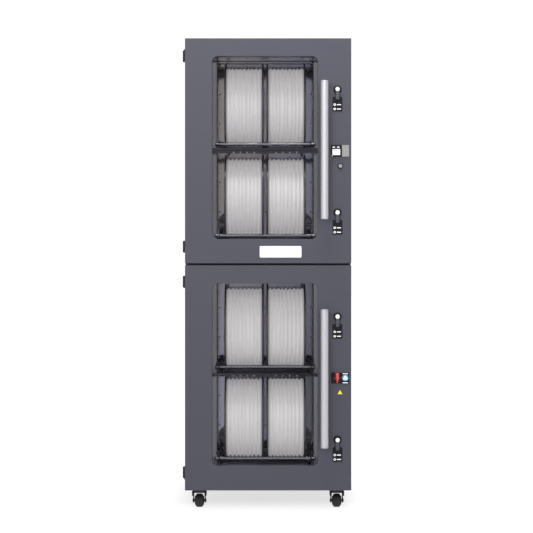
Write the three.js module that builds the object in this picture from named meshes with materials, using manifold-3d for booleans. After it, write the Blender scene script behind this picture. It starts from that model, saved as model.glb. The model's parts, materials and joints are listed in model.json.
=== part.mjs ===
// Filament drying cabinet: a tall steel cabinet on casters with two heated
// chambers, each behind its own glazed door and holding four large spools.
// Millimetres, +Z up, front towards -Y. The origin is under the middle of the
// bounding box, on the floor.
//
// Inside the "cabinet" group, x counts from the cabinet's centre line, y from
// the face of the doors towards the back, and z from the floor.

import * as THREE from "three";
import { mergeVertices } from "three/addons/utils/BufferGeometryUtils.js";
import Module from "manifold-3d";

const wasm = await Module();
wasm.setup();

// ---------------------------------------------------------------- sizes ----
const GAP = 0.3;                // between neighbouring pieces
const RUNNING = 0.3;            // radial, between a shaft and its bore
const SHEET = 2;                // folded steel sheet
const SMALL_SIDES = 12;         // facets round a thin rod
const TURNED_SIDES = 20;        // facets round a spool or a wheel

const width = 660;              // across the doors
const depth = 750;              // door face to rear panel
const doorGap = 8;              // between the two doors

const doorThickness = 45;
const sealThickness = 6;        // door back to front frame
const sealInner = 6;            // chamber opening to the seal's near edge
const sealOuter = 22;           // chamber opening to the seal's far edge
const frameThickness = 3;
const basePanHeight = 30;

const windowWidth = 420;
const windowShift = -12.4;      // window centre from the cabinet's centre line
const windowBelowTop = 71.5;
const windowAboveBottom = 96.5;
const windowCorner = 24;
const lipDepth = 8;             // folded edge round the window
const glassThickness = 4;
const glassOverlap = 10;

const chamberShift = -12;       // chamber centre from the cabinet's centre line
const chamberSideRoom = 61;     // outermost spool to the chamber's side
const ceilingBelowTop = 48;
const floorAboveBottom = 80;
const plenumDepth = 83;         // duct panel to the liner's back wall
const ductSideGap = 24;         // duct panel to the chamber's side
const linerWall = 3;

const spoolFlangeRadius = 177.5;
const spoolWoundRadius = 165;
const spoolWidth = 158;
const spoolFlange = 7;
const spoolHubRadius = 96;
const spoolBoreRadius = 28;
const hubWall = 4;
const spoolSideGap = 12;        // between two spools in a row
const spoolHeadroom = 30.5;     // chamber ceiling to the top row
const spoolRowGap = 15;         // between the two rows
const spoolFootroom = 9.5;      // bottom row to the chamber floor
const spoolFrontGap = 6.5;      // front frame's face to the flanges
const spoolRearGap = 21.5;      // flanges to the duct panel

const barRadius = 8;
const barEndGap = 20;           // bar end to the chamber's side
const barSpread = 100;          // bar to spool axis, front to back
const barClearance = 0.4;
const armSideGap = 40;          // rack arm's middle to the chamber's side
const armThickness = 4;
const armHeight = 30;
const armFootWidth = 16;

const fanSpread = 150;          // fan axis to chamber centre
const fanAboveFloor = 81;
const fanOpeningRadius = 50;
const fanTipRadius = 46;
const fanHubRadius = 19;
const fanDepth = 18;
const fanBlades = 7;
const fanBehindPanel = 2;

const heaterSize = [300, 36, 120];
const heaterFins = 6;

const handleRadius = 15;
const handleStandoff = 54;      // door face to the tube's axis
const handleFromEdge = 108;     // door's side edge to the tube's axis
const handleBelowTop = 172;
const handleLength = 548;
const postRadius = 7;
const postInset = 34;

const hingeKnuckleRadius = 5.5;
const hingePinRadius = 3;
const hingeHeight = 48;
const hingeLeaf = 3;
const hingeLeafReach = 40;      // pin to the far edge of a leaf
const hingeLeafStart = 8;       // pin to the near edge of a leaf
const hingeFromEnd = 66;        // hinge's middle to the door's top or bottom

const latchFromEdge = 55;       // door's side edge to the pivot
const latchBelowTop = 203;
const latchAboveBottom = 201.5;
const latchShaftRadius = 5;
const latchCapRadius = 10;
const latchProud = 16;
const leverWidth = 15.5;
const leverThickness = 6;
const leverReach = 41.6;
const camWidth = 12;
const camReach = 24;
const camThickness = 4;
const camBehindFrame = 6;
const camSlotClearance = 2.5;

const displaySize = [42, 46];
const displayFromEdge = 59.6;   // door's side edge to the display's middle
const displayBelowTop = 447;
const displayProud = 6;
const displayBody = 30;
const displayRim = 3;
const buttonFromEdge = 43.3;
const buttonBelowTop = 507;
const buttonRadius = 8;
const buttonProud = 5;
const buttonFlange = [10, 4];   // radius and thickness of the collar behind the door's skin
const buttonTravelRoom = 4;     // door face to the collar

const switchSize = [39.6, 43];
const switchFromEdge = 59.6;
const switchBelowTop = 446.5;
const switchProud = 4;
const switchBody = 34;
const switchRim = 4;
const knobFromEdge = 56;
const knobSize = [15.7, 41.6];
const knobProud = 25;
const knobShaftRadius = 4;
const knobShaftDepth = 8;

const casterFromSide = 53;      // swivel axis to the door's side edge
const casterFromFront = 105;
const casterFromRear = 105;
const casterPlate = [72, 5];
const casterHeadRadius = 29.5;
const casterHeadHeight = 12;
const casterTrail = 20;
const wheelRadius = 27;
const wheelWidth = 28;
const wheelShoulder = 4;
const wheelSideGap = 7;
const wheelTopGap = 6.7;        // wheel to the fork's crown
const forkArm = 4.5;
const forkArmWidth = 20;
const forkCrown = 6;
const forkArmFoot = 8;          // axle to the foot of an arm
const forkShoulderDrop = 12;    // crown's underside to the foot of a shoulder
const axleRadius = 5;
const axleEnd = 2.5;

const inletSize = [48, 28];     // opening of the power inlet
const inletDepth = 16;
const inletWall = 4;
const inletX = -200;
const inletAboveBase = 70;

// ------------------------------------------------------- derived places ----
const halfWidth = width / 2;
const chamberWidth = 2 * spoolWidth + spoolSideGap + 2 * chamberSideRoom;
const chamberHeight = spoolHeadroom + 4 * spoolFlangeRadius + spoolRowGap + spoolFootroom;
const doorHeight = ceilingBelowTop + chamberHeight + floorAboveBottom;
const casterHeadTop = 2 * wheelRadius + wheelTopGap + forkCrown + casterHeadHeight;
const casterHeight = casterHeadTop + GAP + casterPlate[1];
const bodyBottom = casterHeight;
const doorTops = {
  lower: casterHeight + doorHeight,
  upper: casterHeight + 2 * doorHeight + doorGap,
};
const bodyTop = doorTops.upper;
const frameFront = doorThickness + sealThickness;
const shellFront = frameFront + frameThickness + GAP;
const rearPanelFront = depth - SHEET;
const chamberLeft = chamberShift - chamberWidth / 2;
const chamberRight = chamberShift + chamberWidth / 2;
const spoolDepth = frameFront + spoolFrontGap + spoolFlangeRadius;
const ductFace = spoolDepth + spoolFlangeRadius + spoolRearGap;
const linerBack = ductFace + plenumDepth;
const pinX = -halfWidth - hingeKnuckleRadius;
const pinY = doorThickness + sealThickness / 2;
const spoolPitch = spoolWidth + spoolSideGap;
const spoolColumns = { left: chamberShift - spoolPitch / 2, right: chamberShift + spoolPitch / 2 };
const topRowBelowTop = ceilingBelowTop + spoolHeadroom + spoolFlangeRadius;
const spoolRows = {
  high: topRowBelowTop,
  low: topRowBelowTop + 2 * spoolFlangeRadius + spoolRowGap,
};
const floorBelowTop = doorHeight - floorAboveBottom;
const fanBelowTop = floorBelowTop - fanAboveFloor;
const hingeRows = { top: hingeFromEnd, bottom: doorHeight - hingeFromEnd };
const latchRows = { top: latchBelowTop, bottom: doorHeight - latchAboveBottom };
const latchX = halfWidth - latchFromEdge;
const handleX = halfWidth - handleFromEdge;
const displayX = halfWidth - displayFromEdge;
const buttonX = halfWidth - buttonFromEdge;
const switchX = halfWidth - switchFromEdge;
const knobX = halfWidth - knobFromEdge;
const casterSpread = halfWidth - casterFromSide;
const fanColumns = { left: chamberShift - fanSpread, right: chamberShift + fanSpread };
const barDrop = Math.sqrt((spoolFlangeRadius + barRadius + barClearance) ** 2 - barSpread ** 2);
const armFootDrop = spoolFootroom + spoolFlangeRadius - barDrop - GAP;
const frontReach = handleStandoff + handleRadius;

// ------------------------------------------------------------ materials ----
const finish = (color, roughness, metalness = 0) =>
  new THREE.MeshStandardMaterial({ color, roughness, metalness });
const paint = finish(0x63636f, 0.6, 0.2);
const darkPaint = finish(0x3f3e44, 0.6, 0.2);
const stainless = finish(0xbdbdc2, 0.28, 1);
const blackMetal = finish(0x222124, 0.5, 0.4);
const blackPlastic = finish(0x1c1c1e, 0.55);
const redPlastic = finish(0xb8322b, 0.45);
const rubber = finish(0x1a1a1b, 0.85);
const filament = finish(0xd0d0d0, 0.5);
const glass = new THREE.MeshStandardMaterial({
  color: 0x8a8c94, roughness: 0.05, transparent: true, opacity: 0.35,
});

// --------------------------------------------------------------- solids ----
function solidOf(geometry) {
  const bare = geometry.clone();
  bare.deleteAttribute("normal");
  bare.deleteAttribute("uv");
  const merged = mergeVertices(bare, 1e-4);
  return new wasm.Manifold(new wasm.Mesh({
    numProp: 3,
    vertProperties: new Float32Array(merged.attributes.position.array),
    triVerts: new Uint32Array(merged.index.array),
  }));
}

function geometryOf(solid) {
  const mesh = solid.getMesh();
  const geometry = new THREE.BufferGeometry();
  geometry.setAttribute("position", new THREE.BufferAttribute(mesh.vertProperties, 3));
  geometry.setIndex(new THREE.BufferAttribute(mesh.triVerts, 1));
  geometry.computeVertexNormals();
  return geometry;
}

// A block between two values on each axis.
function block([x0, x1], [y0, y1], [z0, z1]) {
  const geometry = new THREE.BoxGeometry(x1 - x0, y1 - y0, z1 - z0);
  geometry.translate((x0 + x1) / 2, (y0 + y1) / 2, (z0 + z1) / 2);
  return solidOf(geometry);
}

// A round bar along one axis, from one value to another, centred on "at".
function rod(axis, radius, from, to, at, sides = 16) {
  const geometry = new THREE.CylinderGeometry(radius, radius, to - from, sides);
  const middle = (from + to) / 2;
  if (axis === "x") {
    geometry.rotateZ(-Math.PI / 2);
    geometry.translate(middle, at[0], at[1]);
  } else if (axis === "y") {
    geometry.translate(at[0], middle, at[1]);
  } else {
    geometry.rotateX(Math.PI / 2);
    geometry.translate(at[0], at[1], middle);
  }
  return solidOf(geometry);
}

// A plate with rounded corners that faces the front, from y0 to y1.
function roundedPlate([x0, x1], [y0, y1], [z0, z1], corner) {
  const outline = new THREE.Shape();
  outline.moveTo(x0 + corner, z0);
  outline.lineTo(x1 - corner, z0);
  outline.absarc(x1 - corner, z0 + corner, corner, -Math.PI / 2, 0);
  outline.lineTo(x1, z1 - corner);
  outline.absarc(x1 - corner, z1 - corner, corner, 0, Math.PI / 2);
  outline.lineTo(x0 + corner, z1);
  outline.absarc(x0 + corner, z1 - corner, corner, Math.PI / 2, Math.PI);
  outline.lineTo(x0, z0 + corner);
  outline.absarc(x0 + corner, z0 + corner, corner, Math.PI, 1.5 * Math.PI);
  const geometry = new THREE.ExtrudeGeometry(outline, {
    depth: y1 - y0, bevelEnabled: false, curveSegments: 3,
  });
  geometry.rotateX(Math.PI / 2);
  geometry.translate(0, y1, 0);
  return solidOf(geometry);
}

// A closed profile of [radius, along] points turned about the x axis.
function turnedAboutX(profile, sides) {
  const points = [...profile, profile[0]].map(([radius, along]) => new THREE.Vector2(radius, along));
  const geometry = new THREE.LatheGeometry(points, sides);
  geometry.rotateZ(-Math.PI / 2);
  return solidOf(geometry);
}

const grow = ([from, to], by) => [from - by, to + by];
const union = (...solids) => solids.reduce((sum, next) => sum.add(next));

const cabinet = new THREE.Group();
cabinet.name = "cabinet";
cabinet.position.set(hingeKnuckleRadius, -(depth - frontReach) / 2, 0);

function addPiece(name, solid, material, place = [0, 0, 0], parent = cabinet) {
  const mesh = new THREE.Mesh(geometryOf(solid), material);
  mesh.name = name;
  mesh.position.set(...place);
  parent.add(mesh);
  return mesh;
}

// ------------------------------------------------------- places per door ----
const windowX = [windowShift - windowWidth / 2, windowShift + windowWidth / 2];
const windowZ = (top) => [top - doorHeight + windowAboveBottom, top - windowBelowTop];
const chamberX = [chamberLeft, chamberRight];
const chamberZ = (top) => [top - floorBelowTop, top - ceilingBelowTop];
const middleOf = ([from, to]) => (from + to) / 2;

// ---------------------------------------------------------------- cabinet ----
function addFrontFrame() {
  const faceY = [frameFront, frameFront + frameThickness];
  let frame = block([-halfWidth, halfWidth], faceY, [bodyBottom, bodyTop]);
  for (const top of Object.values(doorTops)) {
    frame = frame.subtract(block(chamberX, grow(faceY, 1), chamberZ(top)));
    for (const below of Object.values(latchRows)) {
      const pivot = top - below;
      frame = frame.subtract(block(
        [latchX - camWidth / 2 - camSlotClearance, latchX + camWidth / 2 + camSlotClearance],
        grow(faceY, 1),
        [pivot - camReach - camSlotClearance, pivot + camWidth / 2 + camSlotClearance],
      ));
    }
  }
  addPiece("front_frame", frame, darkPaint);
}

function addOuterShell() {
  const alongY = [shellFront, rearPanelFront - GAP];
  const outside = block([-halfWidth, halfWidth], alongY, [bodyBottom, bodyTop]);
  const inside = block(
    grow([-halfWidth, halfWidth], -SHEET), grow(alongY, 1), [bodyBottom - 1, bodyTop - SHEET],
  );
  addPiece("outer_shell", outside.subtract(inside), paint);
}

function addBaseFrame() {
  const alongX = grow([-halfWidth, halfWidth], -SHEET - GAP);
  const alongY = [shellFront, rearPanelFront - GAP];
  const panTop = bodyBottom + basePanHeight;
  let base = block(alongX, alongY, [bodyBottom, panTop]);
  base = base.subtract(block(
    grow(alongX, -SHEET), grow(alongY, -SHEET), [bodyBottom + frameThickness, panTop + 1],
  ));
  for (const place of Object.values(casterPlaces)) {
    const [size, thickness] = casterPlate;
    base = base.add(block(
      grow([place[0], place[0]], size / 2),
      grow([place[1], place[1]], size / 2),
      [bodyBottom - thickness, bodyBottom + 1],
    ));
  }
  addPiece("base_frame", base, darkPaint);
}

function addRearPanel() {
  const inletZ = bodyBottom + inletAboveBase;
  const openX = grow([inletX, inletX], inletSize[0] / 2);
  const openZ = grow([inletZ, inletZ], inletSize[1] / 2);
  const sheet = block([-halfWidth, halfWidth], [rearPanelFront, depth], [bodyBottom, bodyTop]);
  const socket = block(
    grow(openX, inletWall), [depth - inletDepth - inletWall, depth - 1], grow(openZ, inletWall),
  );
  const recess = block(openX, [depth - inletDepth, depth + 1], openZ);
  addPiece("rear_panel", sheet.add(socket).subtract(recess), paint);
}

function addLiner(level, top) {
  const outside = block(
    grow(chamberX, linerWall), [shellFront, linerBack + linerWall], grow(chamberZ(top), linerWall),
  );
  const inside = block(chamberX, [shellFront - 1, linerBack], chamberZ(top));
  addPiece(`liner_${level}`, outside.subtract(inside), darkPaint);
}

function addDuctPanel(level, top) {
  const alongX = grow(chamberX, -ductSideGap);
  const alongZ = grow(chamberZ(top), -GAP);
  const outside = block(alongX, [ductFace, linerBack - GAP], alongZ);
  const inside = block(grow(alongX, -SHEET), [ductFace + SHEET, linerBack], grow(alongZ, 1));
  let panel = outside.subtract(inside);
  for (const x of Object.values(fanColumns)) {
    panel = panel.subtract(rod(
      "y", fanOpeningRadius, ductFace - 1, ductFace + SHEET + 1, [x, top - fanBelowTop],
    ));
  }
  addPiece(`duct_panel_${level}`, panel, darkPaint);
}

function addHeater(level, top) {
  const [long, deep, high] = heaterSize;
  const middleY = (ductFace + linerBack) / 2;
  const heaterZ = middleOf(chamberZ(top));
  const finWidth = long / (2 * heaterFins - 1);
  let heater = block(
    [chamberShift - long / 2, chamberShift + long / 2], [middleY, middleY + deep / 2],
    grow([heaterZ, heaterZ], high / 2),
  );
  for (let fin = 0; fin < heaterFins; fin += 1) {
    const start = chamberShift - long / 2 + 2 * fin * finWidth;
    heater = heater.add(block(
      [start, start + finWidth], [middleY - deep / 2, middleY + 1], grow([heaterZ, heaterZ], high / 2),
    ));
  }
  addPiece(`heater_${level}`, heater, stainless);
}

// Two bars carry the flanges of a row of spools, on arms that reach forward
// from the duct panel.
function addSpoolRack(level, row, top, below) {
  const barZ = top - below - barDrop;
  const frontBar = spoolDepth - barSpread;
  const rearBar = spoolDepth + barSpread;
  const barEnds = grow(chamberX, -barEndGap);
  let rack = union(
    rod("x", barRadius, ...barEnds, [frontBar, barZ], SMALL_SIDES),
    rod("x", barRadius, ...barEnds, [rearBar, barZ], SMALL_SIDES),
  );
  for (const side of [-1, 1]) {
    const armX = chamberShift + side * (chamberWidth / 2 - armSideGap);
    rack = union(
      rack,
      block(
        grow([armX, armX], armThickness / 2),
        [frontBar - armHeight / 2, ductFace - GAP],
        grow([barZ, barZ], armHeight / 2),
      ),
      block(
        grow([armX, armX], armFootWidth / 2),
        [ductFace - GAP - armThickness, ductFace - GAP],
        [barZ - armFootDrop, barZ + armHeight],
      ),
    );
  }
  addPiece(`spool_rack_${level}_${row}`, rack, blackMetal);
}

// ------------------------------------------------------------------ spools ----
function addSpool(level, row, side, place) {
  const half = spoolWidth / 2;
  const woundHalf = half - spoolFlange;
  const cavity = spoolHubRadius - hubWall;
  const cavityHalf = half - hubWall;
  const spool = turnedAboutX([
    [spoolBoreRadius, -half], [spoolFlangeRadius, -half],
    [spoolFlangeRadius, -woundHalf], [spoolWoundRadius, -woundHalf],
    [spoolWoundRadius, woundHalf], [spoolFlangeRadius, woundHalf],
    [spoolFlangeRadius, half], [spoolBoreRadius, half],
    [spoolBoreRadius, cavityHalf], [cavity, cavityHalf],
    [cavity, -cavityHalf], [spoolBoreRadius, -cavityHalf],
  ], TURNED_SIDES);
  addPiece(`spool_${level}_${row}_${side}`, spool, filament, place);
}

// -------------------------------------------------------------------- fans ----
function addFanRotor(level, side, place) {
  let rotor = rod("y", fanHubRadius, -fanDepth / 2, fanDepth / 2, [0, 0], SMALL_SIDES);
  for (let blade = 0; blade < fanBlades; blade += 1) {
    const geometry = new THREE.BoxGeometry(SHEET, fanDepth, fanTipRadius - fanHubRadius + SHEET);
    geometry.rotateZ(Math.PI / 4);
    geometry.translate(0, 0, (fanTipRadius + fanHubRadius) / 2 - SHEET);
    geometry.rotateY((2 * Math.PI * blade) / fanBlades);
    rotor = rotor.add(solidOf(geometry));
  }
  addPiece(`fan_rotor_${level}_${side}`, rotor, blackPlastic, place);
}

// ------------------------------------------------------------------- doors ----
function addDoorPanel(level, top, cutOuts) {
  const alongX = [-halfWidth, halfWidth];
  const alongZ = [top - doorHeight, top];
  const back = doorThickness - SHEET;
  let panel = block(alongX, [0, back], alongZ);
  panel = panel.subtract(block(grow(alongX, -SHEET), [SHEET, back + 1], grow(alongZ, -SHEET)));
  panel = panel.add(roundedPlate(
    grow(windowX, SHEET), [0, lipDepth], grow(windowZ(top), SHEET), windowCorner + SHEET,
  ));
  panel = panel.subtract(roundedPlate(windowX, [-1, lipDepth + 1], windowZ(top), windowCorner));
  for (const below of Object.values(latchRows)) {
    panel = panel.subtract(rod("y", latchShaftRadius + RUNNING, -1, SHEET + 1, [latchX, top - below]));
  }
  for (const cut of cutOuts) panel = panel.subtract(cut);
  addPiece(`door_panel_${level}`, panel, paint);
}

function addDoorInner(level, top) {
  const plateY = [doorThickness - SHEET + GAP, doorThickness];
  const tunnelY = [lipDepth + glassThickness + 2 * GAP, doorThickness];
  let inner = block([-halfWidth, halfWidth], plateY, [top - doorHeight, top]);
  inner = inner.add(roundedPlate(
    grow(windowX, SHEET), tunnelY, grow(windowZ(top), SHEET), windowCorner + SHEET,
  ));
  inner = inner.subtract(roundedPlate(windowX, grow(tunnelY, 1), windowZ(top), windowCorner));
  for (const below of Object.values(latchRows)) {
    inner = inner.subtract(rod(
      "y", latchShaftRadius + RUNNING, plateY[0] - 1, plateY[1] + 1, [latchX, top - below],
    ));
  }
  addPiece(`door_inner_${level}`, inner, darkPaint);
}

function addDoorGlass(level, top) {
  const glassY = [lipDepth + GAP, lipDepth + GAP + glassThickness];
  const pane = block(grow(windowX, glassOverlap), glassY, grow(windowZ(top), glassOverlap));
  addPiece(`door_glass_${level}`, pane, glass);
}

function addDoorSeal(level, top) {
  const sealY = [doorThickness + GAP, frameFront - GAP];
  const ring = block(grow(chamberX, sealOuter), sealY, grow(chamberZ(top), sealOuter));
  const hole = block(grow(chamberX, sealInner), grow(sealY, 1), grow(chamberZ(top), sealInner));
  addPiece(`door_seal_${level}`, ring.subtract(hole), rubber);
}

function addDoorHandle(level, top) {
  const ends = [top - handleBelowTop - handleLength, top - handleBelowTop];
  const postZ = [ends[0] + postInset, ends[1] - postInset];
  const handle = union(
    rod("z", handleRadius, ...ends, [handleX, -handleStandoff]),
    rod("y", postRadius, -handleStandoff, -GAP, [handleX, postZ[0]], SMALL_SIDES),
    rod("y", postRadius, -handleStandoff, -GAP, [handleX, postZ[1]], SMALL_SIDES),
  );
  addPiece(`door_handle_${level}`, handle, stainless);
}

// Each hinge has three knuckles: the door's in the middle, the body's above
// and below it, with the pin fixed in the body's.
function addHinge(level, position, middleZ) {
  const third = hingeHeight / 3;
  const alongZ = grow([middleZ, middleZ], hingeHeight / 2);
  const middle = [alongZ[0] + third + GAP, alongZ[1] - third - GAP];
  const outerThirds = [[alongZ[0], alongZ[0] + third], [alongZ[1] - third, alongZ[1]]];
  const leafX = [-halfWidth - GAP - hingeLeaf, -halfWidth - GAP];
  const at = [pinX, pinY];

  const doorLeaf = union(
    block(leafX, [pinY - hingeLeafReach, pinY - hingeLeafStart], alongZ),
    block(leafX, [pinY - hingeLeafStart - 1, pinY], middle),
    rod("z", hingeKnuckleRadius, ...middle, at, SMALL_SIDES),
  ).subtract(rod("z", hingePinRadius + RUNNING, alongZ[0], alongZ[1], at, SMALL_SIDES));
  addPiece(`hinge_door_leaf_${level}_${position}`, doorLeaf, blackMetal);

  const bodyLeafX = [leafX[0], -halfWidth - GAP];
  let bodyLeaf = union(
    block(bodyLeafX, [pinY + hingeLeafStart, pinY + hingeLeafReach], alongZ),
    rod("z", hingePinRadius, ...alongZ, at, SMALL_SIDES),
  );
  for (const knuckle of outerThirds) {
    bodyLeaf = union(
      bodyLeaf,
      block(leafX, [pinY, pinY + hingeLeafStart + 1], knuckle),
      rod("z", hingeKnuckleRadius, ...knuckle, at, SMALL_SIDES),
    );
  }
  addPiece(`hinge_body_leaf_${level}_${position}`, bodyLeaf, blackMetal);
}

// A quarter-turn latch: lever and cap in front, cam behind the front frame.
function addLatch(level, position, place) {
  const camFront = frameFront + frameThickness + camBehindFrame;
  const leverBack = -latchProud / 2;
  const latch = union(
    rod("y", latchCapRadius, -latchProud, leverBack, [0, 0]),
    block([-leverWidth / 2, leverWidth / 2], [leverBack - leverThickness, leverBack], [-leverReach, 0]),
    rod("y", latchShaftRadius, leverBack - 1, camFront + camThickness, [0, 0], SMALL_SIDES),
    block([-camWidth / 2, camWidth / 2], [camFront, camFront + camThickness], [-camReach, camWidth / 2]),
  );
  addPiece(`latch_${level}_${position}`, latch, blackMetal, place);
}

// ---------------------------------------------------------------- controls ----
const bodyOf = ([wide, high], x, z, shrink) => ({
  x: grow([x, x], wide / 2 - shrink),
  z: grow([z, z], high / 2 - shrink),
});

function displayCutOut(top) {
  const hole = bodyOf(displaySize, displayX, top - displayBelowTop, displayRim - GAP);
  return block(hole.x, [-1, SHEET + 1], hole.z);
}

function addDisplay(top) {
  const bezel = bodyOf(displaySize, displayX, top - displayBelowTop, 0);
  const body = bodyOf(displaySize, displayX, top - displayBelowTop, displayRim);
  addPiece("display_unit", union(
    block(bezel.x, [-displayProud, -GAP], bezel.z),
    block(body.x, [-GAP - 1, displayBody], body.z),
  ), blackPlastic);
}

function addPowerButton(top) {
  const [collarRadius, collarThickness] = buttonFlange;
  const collarBack = buttonTravelRoom + collarThickness;
  const button = union(
    rod("y", buttonRadius, -buttonProud, collarBack, [0, 0]),
    rod("y", collarRadius, buttonTravelRoom, collarBack, [0, 0]),
  );
  addPiece("power_button", button, stainless, [buttonX, 0, top - buttonBelowTop]);
}

function switchCutOut(top) {
  const hole = bodyOf(switchSize, switchX, top - switchBelowTop, switchRim - GAP);
  return block(hole.x, [-1, SHEET + 1], hole.z);
}

function addMainSwitch(top) {
  const plate = bodyOf(switchSize, switchX, top - switchBelowTop, 0);
  const body = bodyOf(switchSize, switchX, top - switchBelowTop, switchRim);
  const bore = rod(
    "y", knobShaftRadius + RUNNING, -switchProud - 1, knobShaftDepth + switchProud,
    [knobX, top - switchBelowTop], SMALL_SIDES,
  );
  addPiece("main_switch_body", union(
    block(plate.x, [-switchProud, -GAP], plate.z),
    block(body.x, [-GAP - 1, switchBody], body.z),
  ).subtract(bore), blackPlastic);

  const [knobWidth, knobHeight] = knobSize;
  const knob = union(
    block(
      [-knobWidth / 2, knobWidth / 2], [-knobProud, -switchProud - GAP], [-knobHeight / 2, knobHeight / 2],
    ),
    rod("y", knobShaftRadius, -switchProud - 1, knobShaftDepth, [0, 0], SMALL_SIDES),
  );
  addPiece("main_switch_knob", knob, redPlastic, [knobX, 0, top - switchBelowTop]);
}

// ----------------------------------------------------------------- casters ----
const casterPlaces = {
  front_left: [-casterSpread, casterFromFront],
  front_right: [casterSpread, casterFromFront],
  rear_left: [-casterSpread, depth - casterFromRear],
  rear_right: [casterSpread, depth - casterFromRear],
};

function addCaster(name, [x, y]) {
  const headBottom = casterHeadTop - casterHeadHeight;
  const armInner = wheelWidth / 2 + wheelSideGap;
  const armOuter = armInner + forkArm;
  const armY = grow([casterTrail, casterTrail], forkArmWidth / 2);
  let fork = union(
    rod("z", casterHeadRadius, headBottom, casterHeadTop, [0, 0]),
    block([-armOuter, armOuter], [-casterHeadRadius / 2, armY[1]], [headBottom - forkCrown, headBottom + 1]),
    rod("x", axleRadius, -armOuter - axleEnd, armOuter + axleEnd, [casterTrail, wheelRadius], SMALL_SIDES),
  );
  for (const side of [-1, 1]) {
    const armX = side < 0 ? [-armOuter, -armInner] : [armInner, armOuter];
    const shoulderX = side < 0 ? [-casterHeadRadius, -armInner] : [armInner, casterHeadRadius];
    const crownBottom = headBottom - forkCrown;
    fork = union(
      fork,
      block(armX, armY, [wheelRadius - forkArmFoot, headBottom]),
      block(shoulderX, armY, [crownBottom - forkShoulderDrop, headBottom + 1]),
    );
  }
  addPiece(`caster_fork_${name}`, fork, blackMetal, [x, y, 0]);

  const half = wheelWidth / 2;
  const bore = axleRadius + RUNNING;
  const wheel = turnedAboutX([
    [bore, -half], [wheelRadius - wheelShoulder, -half], [wheelRadius, -half + wheelShoulder],
    [wheelRadius, half - wheelShoulder], [wheelRadius - wheelShoulder, half], [bore, half],
  ], TURNED_SIDES);
  addPiece(`caster_wheel_${name}`, wheel, rubber, [x, y + casterTrail, wheelRadius]);
}

// ---------------------------------------------------------------- assembly ----
addFrontFrame();
addOuterShell();
addBaseFrame();
addRearPanel();

for (const [level, top] of Object.entries(doorTops)) {
  addLiner(level, top);
  addDuctPanel(level, top);
  addHeater(level, top);
  for (const [side, x] of Object.entries(fanColumns)) {
    addFanRotor(level, side, [x, ductFace + SHEET + fanBehindPanel + fanDepth / 2, top - fanBelowTop]);
  }
  for (const [row, below] of Object.entries(spoolRows)) {
    addSpoolRack(level, row, top, below);
    for (const [side, x] of Object.entries(spoolColumns)) {
      addSpool(level, row, side, [x, spoolDepth, top - below]);
    }
  }

  const buttonHole = rod("y", buttonRadius + RUNNING, -1, SHEET + 1, [buttonX, top - buttonBelowTop]);
  const cutOuts = level === "upper" ? [displayCutOut(top), buttonHole] : [switchCutOut(top)];
  addDoorPanel(level, top, cutOuts);
  addDoorInner(level, top);
  addDoorGlass(level, top);
  addDoorSeal(level, top);
  addDoorHandle(level, top);
  for (const [position, below] of Object.entries(hingeRows)) addHinge(level, position, top - below);
  for (const [position, below] of Object.entries(latchRows)) {
    addLatch(level, position, [latchX, 0, top - below]);
  }
}

addDisplay(doorTops.upper);
addPowerButton(doorTops.upper);
addMainSwitch(doorTops.lower);
for (const [name, place] of Object.entries(casterPlaces)) addCaster(name, place);

export default new THREE.Group().add(cabinet);
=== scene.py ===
"""Filament drying cabinet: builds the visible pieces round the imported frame, then a pale studio."""

import json
import math
import random

import bmesh
import bpy
from bpy.props import FloatProperty, FloatVectorProperty, IntProperty, PointerProperty
from mathutils import Matrix, Vector


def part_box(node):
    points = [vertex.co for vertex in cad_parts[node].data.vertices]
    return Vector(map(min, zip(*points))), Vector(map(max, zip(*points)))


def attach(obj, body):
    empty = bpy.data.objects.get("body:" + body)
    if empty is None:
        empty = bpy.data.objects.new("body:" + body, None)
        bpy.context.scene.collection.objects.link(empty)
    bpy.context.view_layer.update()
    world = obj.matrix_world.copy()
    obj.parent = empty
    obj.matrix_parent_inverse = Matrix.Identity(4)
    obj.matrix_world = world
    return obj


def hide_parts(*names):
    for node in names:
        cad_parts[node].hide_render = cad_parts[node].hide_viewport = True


bl_info = {
    "name": "Filament drying cabinet",
    "version": (1, 0, 0),
    "blender": (4, 5, 0),
    "location": "3D View > Sidebar > Dryer",
    "description": "Builds a two-door filament drying cabinet with spools, racks, fans and casters",
    "category": "Add Mesh",
}

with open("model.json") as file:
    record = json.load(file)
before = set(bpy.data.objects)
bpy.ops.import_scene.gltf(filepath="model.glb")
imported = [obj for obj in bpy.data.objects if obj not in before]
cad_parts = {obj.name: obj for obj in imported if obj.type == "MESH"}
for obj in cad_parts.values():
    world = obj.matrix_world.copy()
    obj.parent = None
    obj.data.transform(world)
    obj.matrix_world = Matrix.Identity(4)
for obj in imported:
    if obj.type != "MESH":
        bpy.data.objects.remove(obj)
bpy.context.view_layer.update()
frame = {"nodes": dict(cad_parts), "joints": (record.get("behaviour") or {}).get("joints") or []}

MM = 0.001
TINY = 1e-6
WHITE = (1.0, 1.0, 1.0, 1.0)
LEVELS = ("upper", "lower")
ENDS = ("top", "bottom")
ROWS = ("high", "low")
SIDES = ("left", "right")
CORNERS = ("front_left", "front_right", "rear_left", "rear_right")
X_AXIS, Y_AXIS, Z_AXIS = Vector((1, 0, 0)), Vector((0, 1, 0)), Vector((0, 0, 1))


# ------------------------------------------------------------------ places
def span(node):
    """Lowest corner, highest corner and middle of a frame node."""
    low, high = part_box(node)
    return low, high, (low + high) / 2


def joint(name):
    """A joint's point in the frame."""
    return Vector(next(j["pos_m"] for j in frame["joints"] if j["name"] == name))


def door_face():
    """How far forward the doors' front face stands."""
    return span("door_panel_upper")[0].y


def evenly(first, last, count):
    """Places at even steps from the first to the last."""
    return [first + index * (last - first) / (count - 1) for index in range(count)]


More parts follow.
